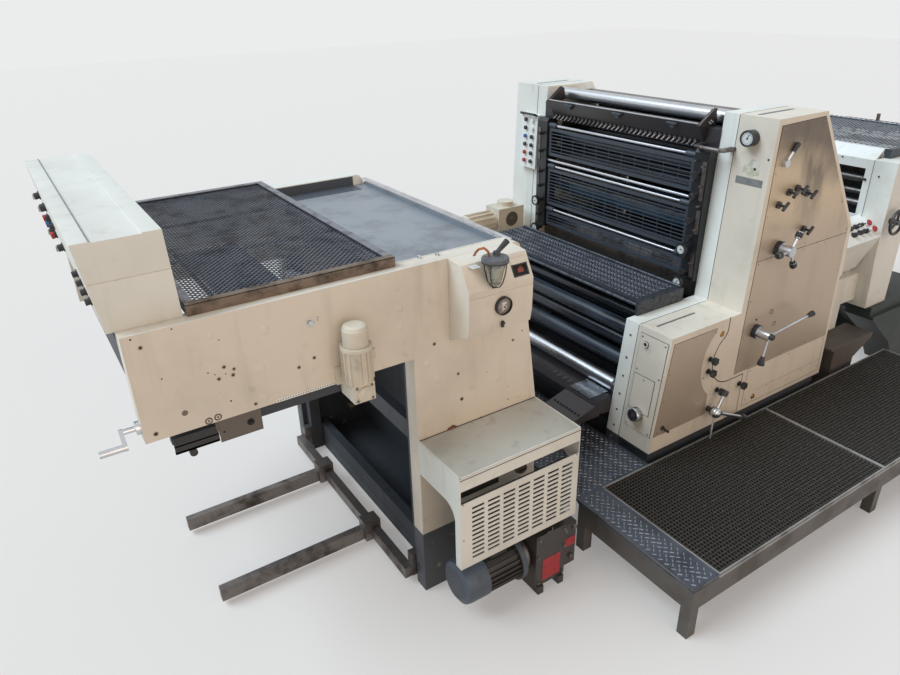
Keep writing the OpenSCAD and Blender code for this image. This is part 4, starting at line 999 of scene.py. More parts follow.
# All but the last straight of this line is stroked 5 mm wide: the seam with a painted shadow under
# the raised edge of the cover beside it.
for i, (start, end) in enumerate(zip(seam_and_edge_shadow, seam_and_edge_shadow[1:])):
    cover.stroke(gaps, start, end, 0.0050 if i < len(seam_and_edge_shadow) - 2 else PANEL_GAP, 0.0007)
side.screws(heads, walk(UPPER, 0.014, 0.20) + walk(LOWER, 0.014, 0.20))
side.screws(heads, [(-0.960, 0.430), (-0.935, 0.600), (-0.898, 0.880), (-0.760, 0.884),
                    (-0.622, 0.884), (-0.660, 0.640), (-0.675, 0.520), (-0.640, 0.428),
                    (-0.800, 0.426), (-0.917, 0.740)])
cover.screws(heads, [(-0.270, 0.555), (-0.270, 0.376), (0.375, 0.555), (0.382, 0.376),
                     (0.060, 0.556), (0.220, 0.405), (-0.090, 0.405)])
make("panel_gaps", gaps, seam_dark, slot="fitting_dark", smooth=0)
make("panel_screws", heads, screw_steel, slot="bright_steel")

plugs = bmesh.new()
cover.turn(plugs, [(0, 0.002), (0.015, 0.0018), (0.017, 0)], -0.562, 0.855, 24)
cover.turn(plugs, [(0, 0.006), (0.009, 0.006), (0.010, 0.002), (0.015, 0.0018), (0.016, 0)],
           -0.204, 0.376, 24)
cover.turn(plugs, [(0, 0.004), (0.008, 0.004), (0.009, 0.001), (0.014, 0.001), (0.015, 0)],
           -0.440, 0.470, 24)
make("cover_plugs", plugs, brass, slot="worn_steel")
plugs = bmesh.new()
side.turn(plugs, [(0, 0.008), (0.010, 0.008), (0.012, 0.002), (0.012, 0)], -0.925, 0.452, 18)
side.stroke(plugs, (-0.925, 0.452), (-0.896, 0.424), 0.009, 0.016)
side.turn(plugs, [(0, 0.020), (0.007, 0.019), (0.007, 0.010)], -0.896, 0.424, 14)
make("panel_latch", plugs, "fitting_dark")
plugs = bmesh.new()
for u, v in ((-0.187, 0.875), (-0.142, 0.796)):
    side.turn(plugs, [(0.011, 0.0003), (0.011, 0.0012), (0.0135, 0.0012), (0.0135, 0)], u, v, 24)
side.turn(plugs, disc(0.005, 0.004), -0.306, 0.863, 16)
make("panel_rings", plugs, "worn_steel")

# %% [markdown]
# ## Seams where covers meet the cast frames
# Seen from the delivery, each end of the press shows three strips: the cast side frame, a dark
# joint and the sheet cover. The same joints run over the tops. Both sides get them.

# %% Seams
SEAM_Y = 0.7205
tower_end, unit_end = Face(*TOWER_FRONT), Face(*UNIT_FRONT)
top = Face((0, 0, 1.848), TO_DRIVE, UP)
unit_lid = Face((0, 0, 0.930), TO_DRIVE, UP)
gaps, spots = bmesh.new(), bmesh.new()
for sign in (-1, 1):
    u = -sign * SEAM_Y
    tower_end.stroke(gaps, (u, 0.004), (u, 0.914), 0.0028)
    unit_end.stroke(gaps, (u, 0.004), (u, 0.616), 0.0028)
    top.stroke(gaps, (-0.392, sign * SEAM_Y), (-0.045, sign * SEAM_Y), 0.0030)
    unit_lid.stroke(gaps, (-0.918, sign * SEAM_Y), (-0.445, sign * SEAM_Y), 0.0028)
    for v in (0.05, 0.14, 0.23, 0.33, 0.43, 0.55):
        unit_end.turn(spots, disc(0.005, 0.003, 0.001), -sign * 0.680, v, 12)
make("cover_seams", gaps, seam_dark, slot="fitting_dark", smooth=0)
make("frame_bolts", spots, "worn_steel")
liners = bmesh.new()
slab(liners, (-0.352, -0.7990, 1.8470), (-0.110, -0.7760, 1.8484))
slab(liners, (-0.352, 0.7760, 1.8470), (-0.110, 0.7990, 1.8484))
slab(liners, (-0.876, -0.7925, 0.9155), (-0.612, -0.7795, 0.9270))
make("slot_liners", liners, moulded("slot strip", tone(86, 94, 98), tone(130, 132, 130)),
     slot="fitting_dark", smooth=0)

# %% [markdown]
# ## Tower: dial, plates and worn handles
# The front edge of the tower carries a knurled dial, a stained patch and a bare plate.
# Handles keep their chrome; grips and hubs are black.

# %% Tower front
dial_face = Face((-0.449, -0.807, 1.755), UP, TO_DELIVERY)
dial_face.dial("tower_dial", 0, 0, 0.029, -0.0042, 20, 25, knurls=34)
work = bmesh.new()
tower_end.plate(work, (0.756, 0.612), (0.898, 0.646), 0.0010)
make("data_plate", work, bare_plate, slot="worn_steel", bevel=0.0004)
stain = Finish("old label glue")
spread = stain.noise(38, detail=4).ramp(0.38, 0.62)
stain.set(base_color=stain.colours(spread, tone(214, 212, 200), tone(190, 184, 156)),
          roughness=0.6)
work = bmesh.new()
tower_end.plate(work, (0.784, 0.662), (0.872, 0.690), 0.0002)
tower_end.turn(work, disc(0.040, 0.0003), 0.828, 0.692, 28)
make("label_patch", work, stain.material, slot="warm_cream", smooth=0)
work = bmesh.new()
tower_end.turn(work, disc(0.004, 0.003, 0.001), 0.905, 0.742, 12)
tower_end.turn(work, disc(0.006, 0.002), 0.846, 0.690, 12)
make("patch_spots", work, "button_black")
work = bmesh.new()
rail = [(-0.386, -0.545), (-0.470, -0.560), (-0.492, -0.600), (-0.490, -0.690), (-0.470, -0.716),
        (-0.404, -0.722)]
RAIL_Z, RAIL_RADIUS = 1.690, 0.0102
run(work, [(x, y, RAIL_Z) for x, y in rail], RAIL_RADIUS, 14)
for x, y in rail[1:-1]:
    bmesh.ops.create_icosphere(work, subdivisions=2, radius=RAIL_RADIUS,
                               matrix=Matrix.Translation((x, y, RAIL_Z)))
make("grab_rail_sleeve", work, "worn_steel")

work = bmesh.new()
STAR_X, STAR_Z = -0.245, 1.230
hub = Vector((STAR_X, -0.999, STAR_Z))
for reach in map(bearing, (30, 150, 270)):
    turned(work, [(0, 0.034), (0.012, 0.033), (0.0172, 0.026), (0.0172, 0.006), (0.0130, -0.003),
                  (0, -0.003)], hub + reach * 0.071, reach, 18)
make("star_knobs", work, "button_black", "star_handle")
work = bmesh.new()
turned(work, collar(0.0334, 0.0350, 0.002, 0.030), (STAR_X, PANEL_Y, STAR_Z), TO_OPERATOR, 40)
for across, over in around(40, 0.035):
    spot = Vector((STAR_X + across, -0.942, STAR_Z + over))
    slab(work, spot - Vector((0.0012, 0.011, 0.0012)), spot + Vector((0.0012, 0.011, 0.0012)))
make("star_collar", work, "fitting_dark", "star_handle", smooth=0)
work = bmesh.new()
LONG_X, LONG_Z = -0.305, 0.802
turned(work, collar(0.0345, 0.0365, 0.002, 0.029), (LONG_X, PANEL_Y, LONG_Z), TO_OPERATOR, 40)
hub = Vector((LONG_X, -1.011, LONG_Z))
long_way, short_way = bearing(85), bearing(190)
turned(work, [(0, 0), (0.0098, 0.001), (0.0155, 0.038), (0.0150, 0.046), (0, 0.047)],
       hub + long_way * 0.314, long_way, 16)
turned(work, [(0, 0), (0.0088, 0.001), (0.0185, 0.040), (0.0175, 0.049), (0, 0.050)],
       hub + short_way * 0.108, short_way, 16)
turned(work, [(0, 0.016), (0.012, 0.015), (0.016, 0.010), (0.016, 0)], hub - Vector((0, 0.012, 0)),
       TO_OPERATOR, 24)
make("long_lever_grips", work, "button_black", "long_lever")
work = bmesh.new()
way = bearing(42)
turned(work, [(0, 0), (0.0088, 0.001), (0.0125, 0.040), (0.011, 0.047), (0, 0.049)],
       Vector((-0.321, -0.938, 1.650)) + way * 0.060, way, 16)
make("tower_lever_grip", work, "button_black", "tower_lever")

work = bmesh.new()
ball = Vector((-0.588, -0.976, 0.440))
bmesh.ops.create_uvsphere(work, u_segments=28, v_segments=18, radius=0.0285,
                          matrix=Matrix.Translation(ball))
for x, z in ((-0.539, 0.536), (-0.348, 0.325)):
    reach = Vector((x, ball.y, z)) - ball
    rod(work, ball + reach * 0.20, ball + reach * (1 - 0.016 / reach.length), 0.0088, 16)
rod(work, ball + Vector((-0.004, 0, -0.020)), ball + Vector((-0.026, -0.010, -0.140)), 0.0055, 12)
make("ball_lever", work, "bright_steel")
print("tower details done")

# %% [markdown]
# ## Ink duct, keys and cheeks
# The duct blade is brown-black with ink. Under it a row of short steel levers opens the ink
# keys. Three small clamps sit on the blade and four chalky dashes on the near cheek.

# %% Ink duct
KEYS, KEY_SPAN = 33, 1.090
work = bmesh.new()
for i in range(KEYS):
    y = (i + 0.5 - KEYS / 2) * KEY_SPAN / (KEYS + 1)
    rod(work, (-0.4240, y - 0.003, 1.6990), (-0.4460, y + 0.006, 1.6790), 0.0052, 8, 0.0036)
make("key_levers", work, "worn_steel")
work = bmesh.new()
for y in (-0.395, -0.020, 0.360):
    slab(work, (-0.482, y - 0.030, 1.770), (-0.462, y + 0.030, 1.779))
    slab(work, (-0.474, y - 0.012, 1.752), (-0.452, y + 0.012, 1.772))
make("duct_clamps", work, "guard_black", bevel=0.0012)
work = bmesh.new()
slab(work, (-0.465, -0.545, 1.7855), (-0.4565, 0.545, 1.7905))
make("duct_lip", work, "bright_steel", bevel=0.0008)
work = bmesh.new()
for sign in (-1, 1):
    y = sign * 0.5555
    run(work, [(-0.468, y, 1.781), (-0.372, y, 1.852), (-0.350, y, 1.846)], 0.0034, 10)
make("cheek_edges", work, "worn_steel")
work = bmesh.new()
for x, z in ((-0.398, 1.790), (-0.385, 1.797), (-0.388, 1.783), (-0.375, 1.790)):
    slab(work, (x - 0.0045, -0.5566, z - 0.0025), (x + 0.0045, -0.5548, z + 0.0025))
make("cheek_dashes", work, "white_paint", smooth=0)

# %% [markdown]
# ## Guards and their cheeks
# The counters on the black cheeks have white scales in knurled rims. Behind the middle guard a
# row of brass blocks and a blue rubber roller show through the wires.

# %% Cheeks
for index, (y, z) in enumerate(((-0.579, 1.005), (-0.579, 1.182), (0.579, 1.005),
                                (0.579, 1.182))):
    dial_face = Face((-0.523, y, z), UP, TO_DELIVERY)
    dial_face.dial("counter_%d" % index, 0, 0, 0.0232, -0.0042, 16, 30 + 70 * index, knurls=28)
work = bmesh.new()
for z in (1.060, 1.240, 1.330, 1.455, 1.560):
    rod(work, (-0.466, -0.590, z), (-0.500, -0.590, z), 0.011, 14)
    rod(work, (-0.500, -0.590, z), (-0.506, -0.590, z), 0.016, 14)
    rod(work, (-0.466, 0.588, z + 0.03), (-0.496, 0.588, z + 0.03), 0.010, 14)
make("cheek_knobs", work, "button_black")
work = bmesh.new()
for z in (1.110, 1.285, 1.405, 1.505, 1.600):
    rod(work, (-0.4655, -0.618, z), (-0.4900, -0.618, z), 0.006, 10)
    rod(work, (-0.4655, -0.568, z + 0.02), (-0.4830, -0.568, z + 0.02), 0.005, 10)
for z0, z1 in ((1.030, 1.160), (1.260, 1.380), (1.430, 1.620)):
    slab(work, (-0.4690, -0.628, z0), (-0.4650, -0.606, z1))
    slab(work, (-0.4690, 0.606, z0), (-0.4650, 0.626, z1))
make("cheek_brackets", work, "worn_steel", bevel=0.0008)
work = bmesh.new()
BLOCKS, BLOCK_PITCH = 36, 0.0295
for i in range(BLOCKS):
    y = -0.520 + i * BLOCK_PITCH
    slab(work, (-0.4060, y, 1.3500), (-0.3950, y + 0.020, 1.3660))
brass_dull = moulded("inky brass blocks", tone(206, 168, 112), tone(130, 104, 76), 0.35)
make("brass_blocks", work, brass_dull, slot="worn_steel", bevel=0.0008)
work = bmesh.new()
slab(work, (-0.3940, -0.540, 1.344), (-0.3880, 0.540, 1.372))
rod(work, (-0.405, -0.535, 1.318), (-0.405, 0.535, 1.318), 0.008, 12)
make("brass_rail", work, "worn_steel")
print("cheeks done")

# %% [markdown]
# ## Unit door
# The door on the sloping end of the lower unit has a round hole, black with painted shade, a
# second bolted plate and a heavy chromed knob. All of it swings with the door.

# %% Unit door
door = Face(*UNIT_FRONT, body="unit_door")
FRONT_N = 0.0033


def lifted(face, height):
    return Face(face.at(0, 0, height), face.matrix.col[1].xyz, face.outward, face.body)


work = bmesh.new()
unit_end.outline(work, [(0.7425, 0.0925), (0.9105, 0.0925), (0.9105, 0.5895), (0.7425, 0.5895)],
                 PANEL_GAP)
make("door_gap", work, seam_dark, slot="fitting_dark", smooth=0)
panel = lifted(door, FRONT_N)
raised = lifted(door, 0.0058)
work = bmesh.new()
panel.outline(work, [(0.7515, 0.1955), (0.8785, 0.1955), (0.8785, 0.3825), (0.7515, 0.3825)],
              0.0030, 0.0006)
make("door_plate_gap", work, seam_dark, "unit_door", "fitting_dark", smooth=0)
work = bmesh.new()
panel.screws(work, [(0.756, 0.106), (0.897, 0.106), (0.756, 0.574), (0.897, 0.574),
                    (0.757, 0.404), (0.897, 0.404)], 0.0056, 0.0026)
raised.screws(work, [(0.815, 0.366), (0.815, 0.212)], 0.0050, 0.0024)
make("door_screws", work, screw_steel, "unit_door", "bright_steel")
work = bmesh.new()
KNOB = (0.814, 0.181)
panel.turn(work, [(0.0275, -0.001), (0.0350, 0.002), (0.0350, 0.028), (0.0325, 0.0370),
                  (0.0245, 0.0370), (0.0235, 0.0300)], *KNOB, 36)
panel.turn(work, [(0, 0.0385), (0.011, 0.0385), (0.012, 0.0300)], *KNOB, 20)
make("door_knob_chrome", work, "bright_steel", "unit_door")
work = bmesh.new()
panel.turn(work, [(0, 0.0365), (0.0240, 0.0365), (0.0240, 0.0290)], *KNOB, 30)
for across, over in around(30, 0.0345):
    u, v = KNOB[0] + across, KNOB[1] + over
    panel.plate(work, (u - 0.0012, v - 0.0012), (u + 0.0012, v + 0.0012), 0.024)
make("door_knob_black", work, "button_black", "unit_door", smooth=0)
work = bmesh.new()
# The hole is a shallow near-black cup: painted shade for its depth.
HOLE = (0.785, 0.542)
panel.turn(work, [(0, 0.0046), (0.0150, 0.0046), (0.0165, 0.002), (0.0165, 0)], *HOLE, 24)
make("door_hole", work, hole_shade_black, "unit_door", "fitting_dark", smooth=0)

# %% [markdown]
# ## Delivery: deck edge, far rail and the gear under the beam
# The deck sheet ends in a folded bright lip. The inside of the far rail is dark with painted
# shade, and under the near beam a taupe bracket hangs from a black channel.

# %% Delivery extras
deck_low, deck_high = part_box("delivery_deck")
work = bmesh.new()
slab(work, (deck_high[0] - 0.026, -0.700, deck_high[2] - 0.0004),
     (deck_high[0] - 0.0005, deck_high[1] - 0.004, deck_high[2] + 0.0022))
slab(work, (deck_high[0] - 0.034, -0.700, deck_high[2] - 0.0004),
     (deck_high[0] - 0.030, deck_high[1] - 0.004, deck_high[2] + 0.0010))
make("deck_lip", work, "bright_steel", bevel=0.0008)
far_low, far_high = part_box("delivery_frame_drive")
# Dark sheets on the inner face of the far rail and along the deck beside it: painted shade.
work = bmesh.new()
slab(work, (deck_low[0], far_low[1] - 0.0012, 1.4400),
     (deck_high[0] - 0.075, far_low[1] + 0.0002, far_high[2] - 0.0040))
slab(work, (deck_low[0], far_low[1] - 0.1050, 1.4775), (deck_high[0] - 0.075, far_low[1], 1.4784))
painted_inner_shade = worn_paint("painted shade on the inner side", tone(72, 78, 86), tone(44, 46, 50), dirt=0.9)
make("far_rail_painted_shade", work, painted_inner_shade, slot="plinth_grey", smooth=0)
taupe = worn_paint("taupe bracket", tone(98, 89, 79), tone(60, 53, 46), dirt=0.9)
black_iron = worn_paint("oily black channel", tone(40, 37, 34), tone(24, 20, 17), dirt=0.9)
work = bmesh.new()
slab(work, (-2.9300, -0.7500, 1.0630), (-2.7850, -0.7480, 1.1640))
slab(work, (-2.9380, -0.7500, 1.1130), (-2.9300, -0.7440, 1.1640))
make("beam_bracket", work, taupe, slot="angle_brown", bevel=0.001)
work = bmesh.new()
turned(work, [(0, 0.010), (0.007, 0.010), (0.007, 0.003), (0.012, 0.003), (0.012, 0)],
       (-2.824, -0.7500, 1.106), TO_OPERATOR, 16)
# A flat near-black disc beside the bolt: painted shade of a hole.
turned(work, disc(0.004, 0.0006), (-2.915, -0.7500, 1.100), TO_OPERATOR, 12)
make("bracket_bolt", work, hole_shade_black, slot="fitting_dark")
work = bmesh.new()
slab(work, (-3.075, -0.7470, 1.0700), (-2.9320, -0.7400, 1.0780))
slab(work, (-3.075, -0.7470, 1.0700), (-2.9320, -0.7440, 1.1300))
slab(work, (-3.075, -0.7470, 1.0960), (-2.9320, -0.7400, 1.1010))
rod(work, (-3.020, -0.7460, 1.0560), (-3.020, -0.7260, 1.0560), 0.013, 18)
make("beam_channel", work, black_iron, slot="guard_black")

# %% [markdown]
# ## Console: coloured buttons
# The push buttons on the hidden side of the console peep over its edge. Three are red or blue
# caps; the rest are black selector knobs.

# %% Console buttons
CONSOLE_X, CONSOLE_Z, CONSOLE_SLOPE = -3.2153, 1.802, 34 / 275
LEAN = math.atan(CONSOLE_SLOPE)
OUT = Vector((-math.cos(LEAN), 0, -math.sin(LEAN)))


def on_console(y, z):
    return Vector((CONSOLE_X + (CONSOLE_Z - z) * CONSOLE_SLOPE, y, z))


def caps(name, places, finish, slot, radius=0.0142, length=0.0220):
    work = bmesh.new()
    for y, z in places:
        turned(work, [(0, length), (radius * 0.8, length), (radius, length - 0.003),
                      (radius, 0.009), (radius * 0.7, 0.007)], on_console(y, z), OUT, 20)
    make(name, work, finish, slot=slot)


caps("red_caps", [(0.448, 1.594), (0.359, 1.543)], button_red, "button_black")
caps("blue_caps", [(0.294, 1.608)], button_blue, "button_black")
work = bmesh.new()
for y, z in ((0.392, 1.699), (0.198, 1.694), (0.389, 1.551), (-0.015, 1.595)):
    at = on_console(y, z)
    slab(work, at + OUT * 0.023 - Vector((0.003, 0.0035, 0.011)),
         at + OUT * 0.023 + Vector((0.003, 0.0035, 0.011)))
make("selector_marks", work, button_white, slot="white_paint", bevel=0.001)
# A grey strip along the console top: painted shade in its groove.
work = bmesh.new()
slab(work, (-3.1665, -0.7290, 1.8010), (-3.1620, 0.5850, 1.8026))
make("console_top_groove_shade", work, moulded("shaded groove", tone(126, 132, 132), tone(96, 98, 96)),
     slot="white_paint", smooth=0)

# %% [markdown]
# ## Control cabinet: oil glass, gauge, window
# A clear bowl in a wire cage hangs under its lid, with a copper tube and a black lever on top.
# Below it a round gauge sits in a black ring; a small window, dark with painted shade, shows a
# red-brown relay.

# %% Cabinet fittings
BOWL = Vector((-1.945, -0.934, 1.450))
glass = Finish("oily glass")
glass.set(base_color=tone(232, 232, 222), roughness=0.08, transmission_weight=0.92)
work = bmesh.new()
turned(work, [(0, 0), (0.015, 0), (0.023, 0.010), (0.041, 0.0905), (0.038, 0.0905),
              (0.0205, 0.012), (0.012, 0.003), (0, 0.003)], BOWL, UP, 36)
bowl_glass = make("bowl_glass", work, glass.material, slot="white_paint", smooth=50)
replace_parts(bowl_glass, "cabinet_fittings")
work = bmesh.new()
turned(work, [(0, 0.020), (0.011, 0.020), (0.014, 0.030), (0.014, 0.080), (0, 0.080)], BOWL, UP, 20)
turned(work, [(0, 0.060), (0.022, 0.060), (0.022, 0.068), (0, 0.068)], BOWL, UP, 24)
make("bowl_filter", work, button_white, slot="white_paint")
work = bmesh.new()
turned(work, [(0, 0.110), (0.034, 0.109), (0.047, 0.104), (0.049, 0.098), (0.049, 0.091),
              (0.0, 0.091)], BOWL, UP, 40)
turned(work, [(0, 0.122), (0.013, 0.122), (0.013, 0.106)], BOWL + Vector((0.006, 0, 0)), UP, 20)
lid_grey = moulded("grey lid", tone(92, 94, 96), tone(60, 60, 60), 0.40)
make("bowl_lid", work, lid_grey, slot="fitting_dark")
work = bmesh.new()
for a in (math.radians(-150), math.radians(-60)):
    way = Vector((math.cos(a), math.sin(a), 0))
    line = [BOWL + way * r + Vector((0, 0, z)) for r, z in
            ((0.0445, 0.088), (0.0400, 0.050), (0.0300, 0.012), (0.0180, -0.006), (0.0, -0.011),
             (-0.0180, -0.006), (-0.0300, 0.012), (-0.0400, 0.050), (-0.0445, 0.088))]
    run(work, line, 0.0022, 8)
turned(work, [(0.0455, 0.086), (0.0490, 0.086), (0.0490, 0.091), (0.0455, 0.091)], BOWL, UP, 36)
make("bowl_cage", work, "button_black")
work = bmesh.new()
tip = BOWL + Vector((0.006, 0, 0.118))
way = Vector((0.864, 0.184, 0.469))
rod(work, tip, tip + way * 0.062, 0.0075, 14, 0.0115)
turned(work, [(0, 0.010), (0.012, 0.008), (0.014, 0)], tip + Vector((0, 0, -0.002)), UP, 20)
slab(work, (-1.957, -0.914, 1.500), (-1.937, -0.884, 1.517))
make("bowl_lever", work, "button_black")
work = bmesh.new()
curl = [BOWL + Vector(p) for p in (
    (-0.020, 0.004, 0.104), (-0.026, 0.006, 0.128), (-0.040, 0.012, 0.142), (-0.056, 0.020, 0.138),
    (-0.060, 0.034, 0.122), (-0.050, 0.052, 0.108), (-0.040, 0.072, 0.098))]
for p, q in zip(curl, curl[1:]):
    rod(work, p, q, 0.0042, 10)
    bmesh.ops.create_icosphere(work, subdivisions=1, radius=0.0044,
                               matrix=Matrix.Translation(q))
make("copper_curl", work, copper, slot="bright_steel")

gauge = Face((-1.897, -0.9165, 1.352), (0, -0.013, 1), (0, -1, -0.013))
work = bmesh.new()
gauge.turn(work, [(0.0320, 0.004), (0.0320, 0.015), (0.0340, 0.016), (0.0360, 0.013),
                  (0.0360, 0.000)], 0, 0, 40)
make("gauge_ring", work, "button_black")
work = bmesh.new()
gauge.turn(work, [(0, 0.005), (0.0322, 0.005), (0.0322, 0.003)], 0, 0, 36)
gauge_brown = moulded("gauge inside", tone(150, 136, 122), tone(96, 82, 70), 0.25)
make("gauge_bed", work, gauge_brown, slot="fitting_dark")
work = bmesh.new()
gauge.turn(work, [(0, 0.011), (0.012, 0.011), (0.020, 0.006), (0.021, 0.004)], 0.002, -0.006, 3)
gauge.plate(work, (-0.008, 0.004), (0.012, 0.016), 0.009)
make("gauge_knob", work, dial_white, slot="white_paint", smooth=0, bevel=0.0015)
work = bmesh.new()
gauge.turn(work, [(0, 0.0125), (0.004, 0.0125), (0.004, 0.010)], 0.002, -0.004, 14)
gauge.plate(work, (-0.0055, -0.088), (0.0055, -0.064), 0.006)
gauge.turn(work, [(0, 0.012), (0.006, 0.011), (0.006, 0.004)], 0, -0.070, 14)
make("gauge_latch", work, "button_black")

rake = math.atan2(0.092, 0.051)
slope = Face((-1.839, -0.918, 1.430), (0, math.cos(rake), math.sin(rake)),
             (0, -math.sin(rake), math.cos(rake)))
# The bed of the window is a near-black plate: painted shade inside the cabinet.
work = bmesh.new()
slope.plate(work, (0.0015, 0.0175), (0.0685, 0.0600), -0.0052, 0.0078)
make("window_bed", work, hole_shade_black, slot="fitting_dark", smooth=0)
work = bmesh.new()
slope.plate(work, (0.0002, 0.0600), (0.0698, 0.0878), 0.0004, 0.0078)
make("window_upper_sheet", work, slot_of["control_cabinet"], smooth=0)
work = bmesh.new()
slope.plate(work, (0.026, 0.030), (0.052, 0.046), -0.0035, 0.0060)
slope.plate(work, (0.034, 0.044), (0.048, 0.053), -0.0040, 0.0060)
red_brown = moulded("red brown relay", tone(142, 62, 48), tone(90, 40, 34), 0.4)
make("window_relay", work, red_brown, slot="fitting_dark", bevel=0.001)
work = bmesh.new()
slope.outline(work, [(0.002, 0.018), (0.068, 0.018), (0.068, 0.0600), (0.002, 0.0600)], 0.0050,
              0.0014)
make("window_frame", work, "button_black", bevel=0.0012)
cab_front = Face((0, -0.9182, 0), (0, 0.005, 1), (0, -1, 0.005))
work = bmesh.new()
cab_front.plate(work, (-1.846, 1.3980), (-1.828, 1.4180), 0.0016)
make("cabinet_plates", work, bare_plate, slot="worn_steel")
work = bmesh.new()
cab_front.stroke(work, (-2.044, 1.4290), (-1.757, 1.4290), 0.0022, 0.0008)
cab_front.stroke(work, (-2.044, 1.4215), (-1.757, 1.4215), 0.0012, 0.0006)
cab_front.stroke(work, (-2.044, 1.2990), (-1.757, 1.2990), 0.0018, 0.0008)
make("cabinet_joints", work, seam_dark, slot="fitting_dark", smooth=0)
work = bmesh.new()
slab(work, (-2.020, -0.905, 1.5160), (-1.985, -0.872, 1.5168))
make("cabinet_sticker", work, button_white, slot="white_paint", smooth=0)
print("cabinet done")

# %% [markdown]
# ## Tray, pump and lift motor
# The tray under the cabinet is a grey sheet with pale folded rims and a dark joint under its
# front edge. The pump's fan cover and flange are bluer than its oily block, and two plain red
# plates are fixed to it.

# %% Tray and pump
tray_low, tray_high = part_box("tray_shelf")
TRAY_LEFT, TRAY_NEAR, _ = tray_low
TRAY_RIGHT, TRAY_FAR, TRAY_TOP = tray_high
grey_sheet = worn_paint("grey tray sheet", tone(196, 192, 180), tone(128, 120, 106), dirt=1.0,
                        roughness=0.42)
work = bmesh.new()
slab(work, (TRAY_LEFT + 0.007, TRAY_NEAR + 0.008, TRAY_TOP - 0.0004),
     (TRAY_RIGHT - 0.007, TRAY_FAR - 0.006, TRAY_TOP + 0.0008))
make("tray_sheet", work, grey_sheet, slot="cream_paint", smooth=0)
work = bmesh.new()
for low, high in (((TRAY_LEFT, TRAY_NEAR), (TRAY_RIGHT, TRAY_NEAR + 0.005)),
                  ((TRAY_LEFT, TRAY_NEAR), (TRAY_LEFT + 0.005, TRAY_FAR - 0.001)),
                  ((TRAY_RIGHT - 0.005, TRAY_NEAR), (TRAY_RIGHT, TRAY_FAR - 0.001))):
    slab(work, (*low, TRAY_TOP - 0.002), (*high, TRAY_TOP + 0.0032))
make("tray_rims", work, "white_paint", bevel=0.001)
work = bmesh.new()
slab(work, (TRAY_LEFT + 0.002, TRAY_NEAR - 0.0004, TRAY_TOP - 0.0130),
     (TRAY_RIGHT - 0.002, TRAY_NEAR + 0.0010, TRAY_TOP - 0.0095))
slab(work, (TRAY_RIGHT - 0.002, TRAY_NEAR + 0.004, TRAY_TOP - 0.0130),
     (TRAY_RIGHT + 0.0004, TRAY_FAR - 0.010, TRAY_TOP - 0.0105))
slab(work, (TRAY_LEFT + 0.004, TRAY_FAR - 0.0030, TRAY_TOP - 0.0005),
     (TRAY_RIGHT - 0.004, TRAY_FAR + 0.0002, TRAY_TOP + 0.0022))
make("tray_joint", work, seam_dark, slot="fitting_dark", smooth=0)
work = bmesh.new()
for x, size in ((-2.060, 0.010), (-2.044, 0.014), (-2.031, 0.008), (-1.905, 0.005)):
    turned(work, [(0, 0.0024), (size * 0.7, 0.0020), (size, 0)],
           (x, TRAY_FAR - 0.001, TRAY_TOP + size * 0.3), TO_OPERATOR, 9)
make("tray_rust", work, moulded("rusty dirt", tone(112, 74, 48), tone(70, 50, 38), 0.8),
     slot="angle_brown")
work = bmesh.new()
tray_front = Face((0, TRAY_NEAR, 0), UP, TO_OPERATOR)
tray_front.screws(work, [(TRAY_LEFT + 0.014, 0.500), (TRAY_LEFT + 0.014, 0.672),
                         (TRAY_RIGHT - 0.014, 0.672)], 0.004, 0.002)
make("tray_screws", work, screw_steel, slot="bright_steel")

PUMP_X, PUMP_Y, PUMP_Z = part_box("vacuum_pump")[0][0], -0.974, 0.180
blue_cast = worn_paint("blue pump casting", tone(72, 80, 90), tone(42, 42, 44), dirt=0.9,
                       roughness=0.45)
work = bmesh.new()
turned(work, [(0, -0.0004), (0.069, -0.0004), (0.0930, 0.0130), (0.0972, 0.030),
              (0.0972, 0.1195), (0.0950, 0.1200)], (PUMP_X, PUMP_Y, PUMP_Z), TO_FEEDER, 40)
turned(work, collar(0.103, 0.1052, -0.0002, 0.0262, 0.0022),
       (PUMP_X + 0.280, PUMP_Y, PUMP_Z), TO_FEEDER, 40)
make("pump_blue", work, blue_cast, slot="pump_grey")
VENTS, VENT_PITCH, VENT_RADIUS = 9, 0.014, 0.064
work = bmesh.new()
for i in range(VENTS):
    z = PUMP_Z - 0.056 + i * VENT_PITCH
    half = math.sqrt(VENT_RADIUS ** 2 - (z - PUMP_Z) ** 2)
    slab(work, (PUMP_X - 0.0010, PUMP_Y - half, z - 0.0022),
         (PUMP_X + 0.0005, PUMP_Y + half, z + 0.0022))
turned(work, collar(0.060, 0.0635, 0.300, 0.352), (PUMP_X, PUMP_Y, PUMP_Z), TO_FEEDER, 32)
make("pump_dark", work, black_iron, slot="guard_black", smooth=0)
work = bmesh.new()
turned(work, collar(0.0745, 0.0765, 0.318, 0.338), (PUMP_X, PUMP_Y, PUMP_Z), TO_FEEDER, 32)
make("pump_coupling", work, "worn_steel")
work = bmesh.new()
slab(work, (-1.7840, -1.0752, 0.062), (-1.6860, -1.0742, 0.180))
slab(work, (-1.6450, -1.0592, 0.165), (-1.5880, -1.0582, 0.212))
make("pump_red_plates", work, button_red, slot="fitting_dark", bevel=0.0004)
work = bmesh.new()
for x, z in ((-1.805, 0.300), (-1.672, 0.300), (-1.805, 0.060), (-1.672, 0.060), (-1.812, 0.205),
             (-1.668, 0.205)):
    turned(work, disc(0.007, 0.007, 0.001), (x, -1.0740, z), TO_OPERATOR, 6)
for x, z in ((-1.612, 0.105), (-1.650, 0.265), (-1.598, 0.265)):
    turned(work, [(0, 0.012), (0.010, 0.011), (0.013, 0.004), (0.013, 0)], (x, -1.0580, z),
           TO_OPERATOR, 14)
slab(work, (-1.765, -1.0740, 0.3195), (-1.735, -1.0400, 0.3235))
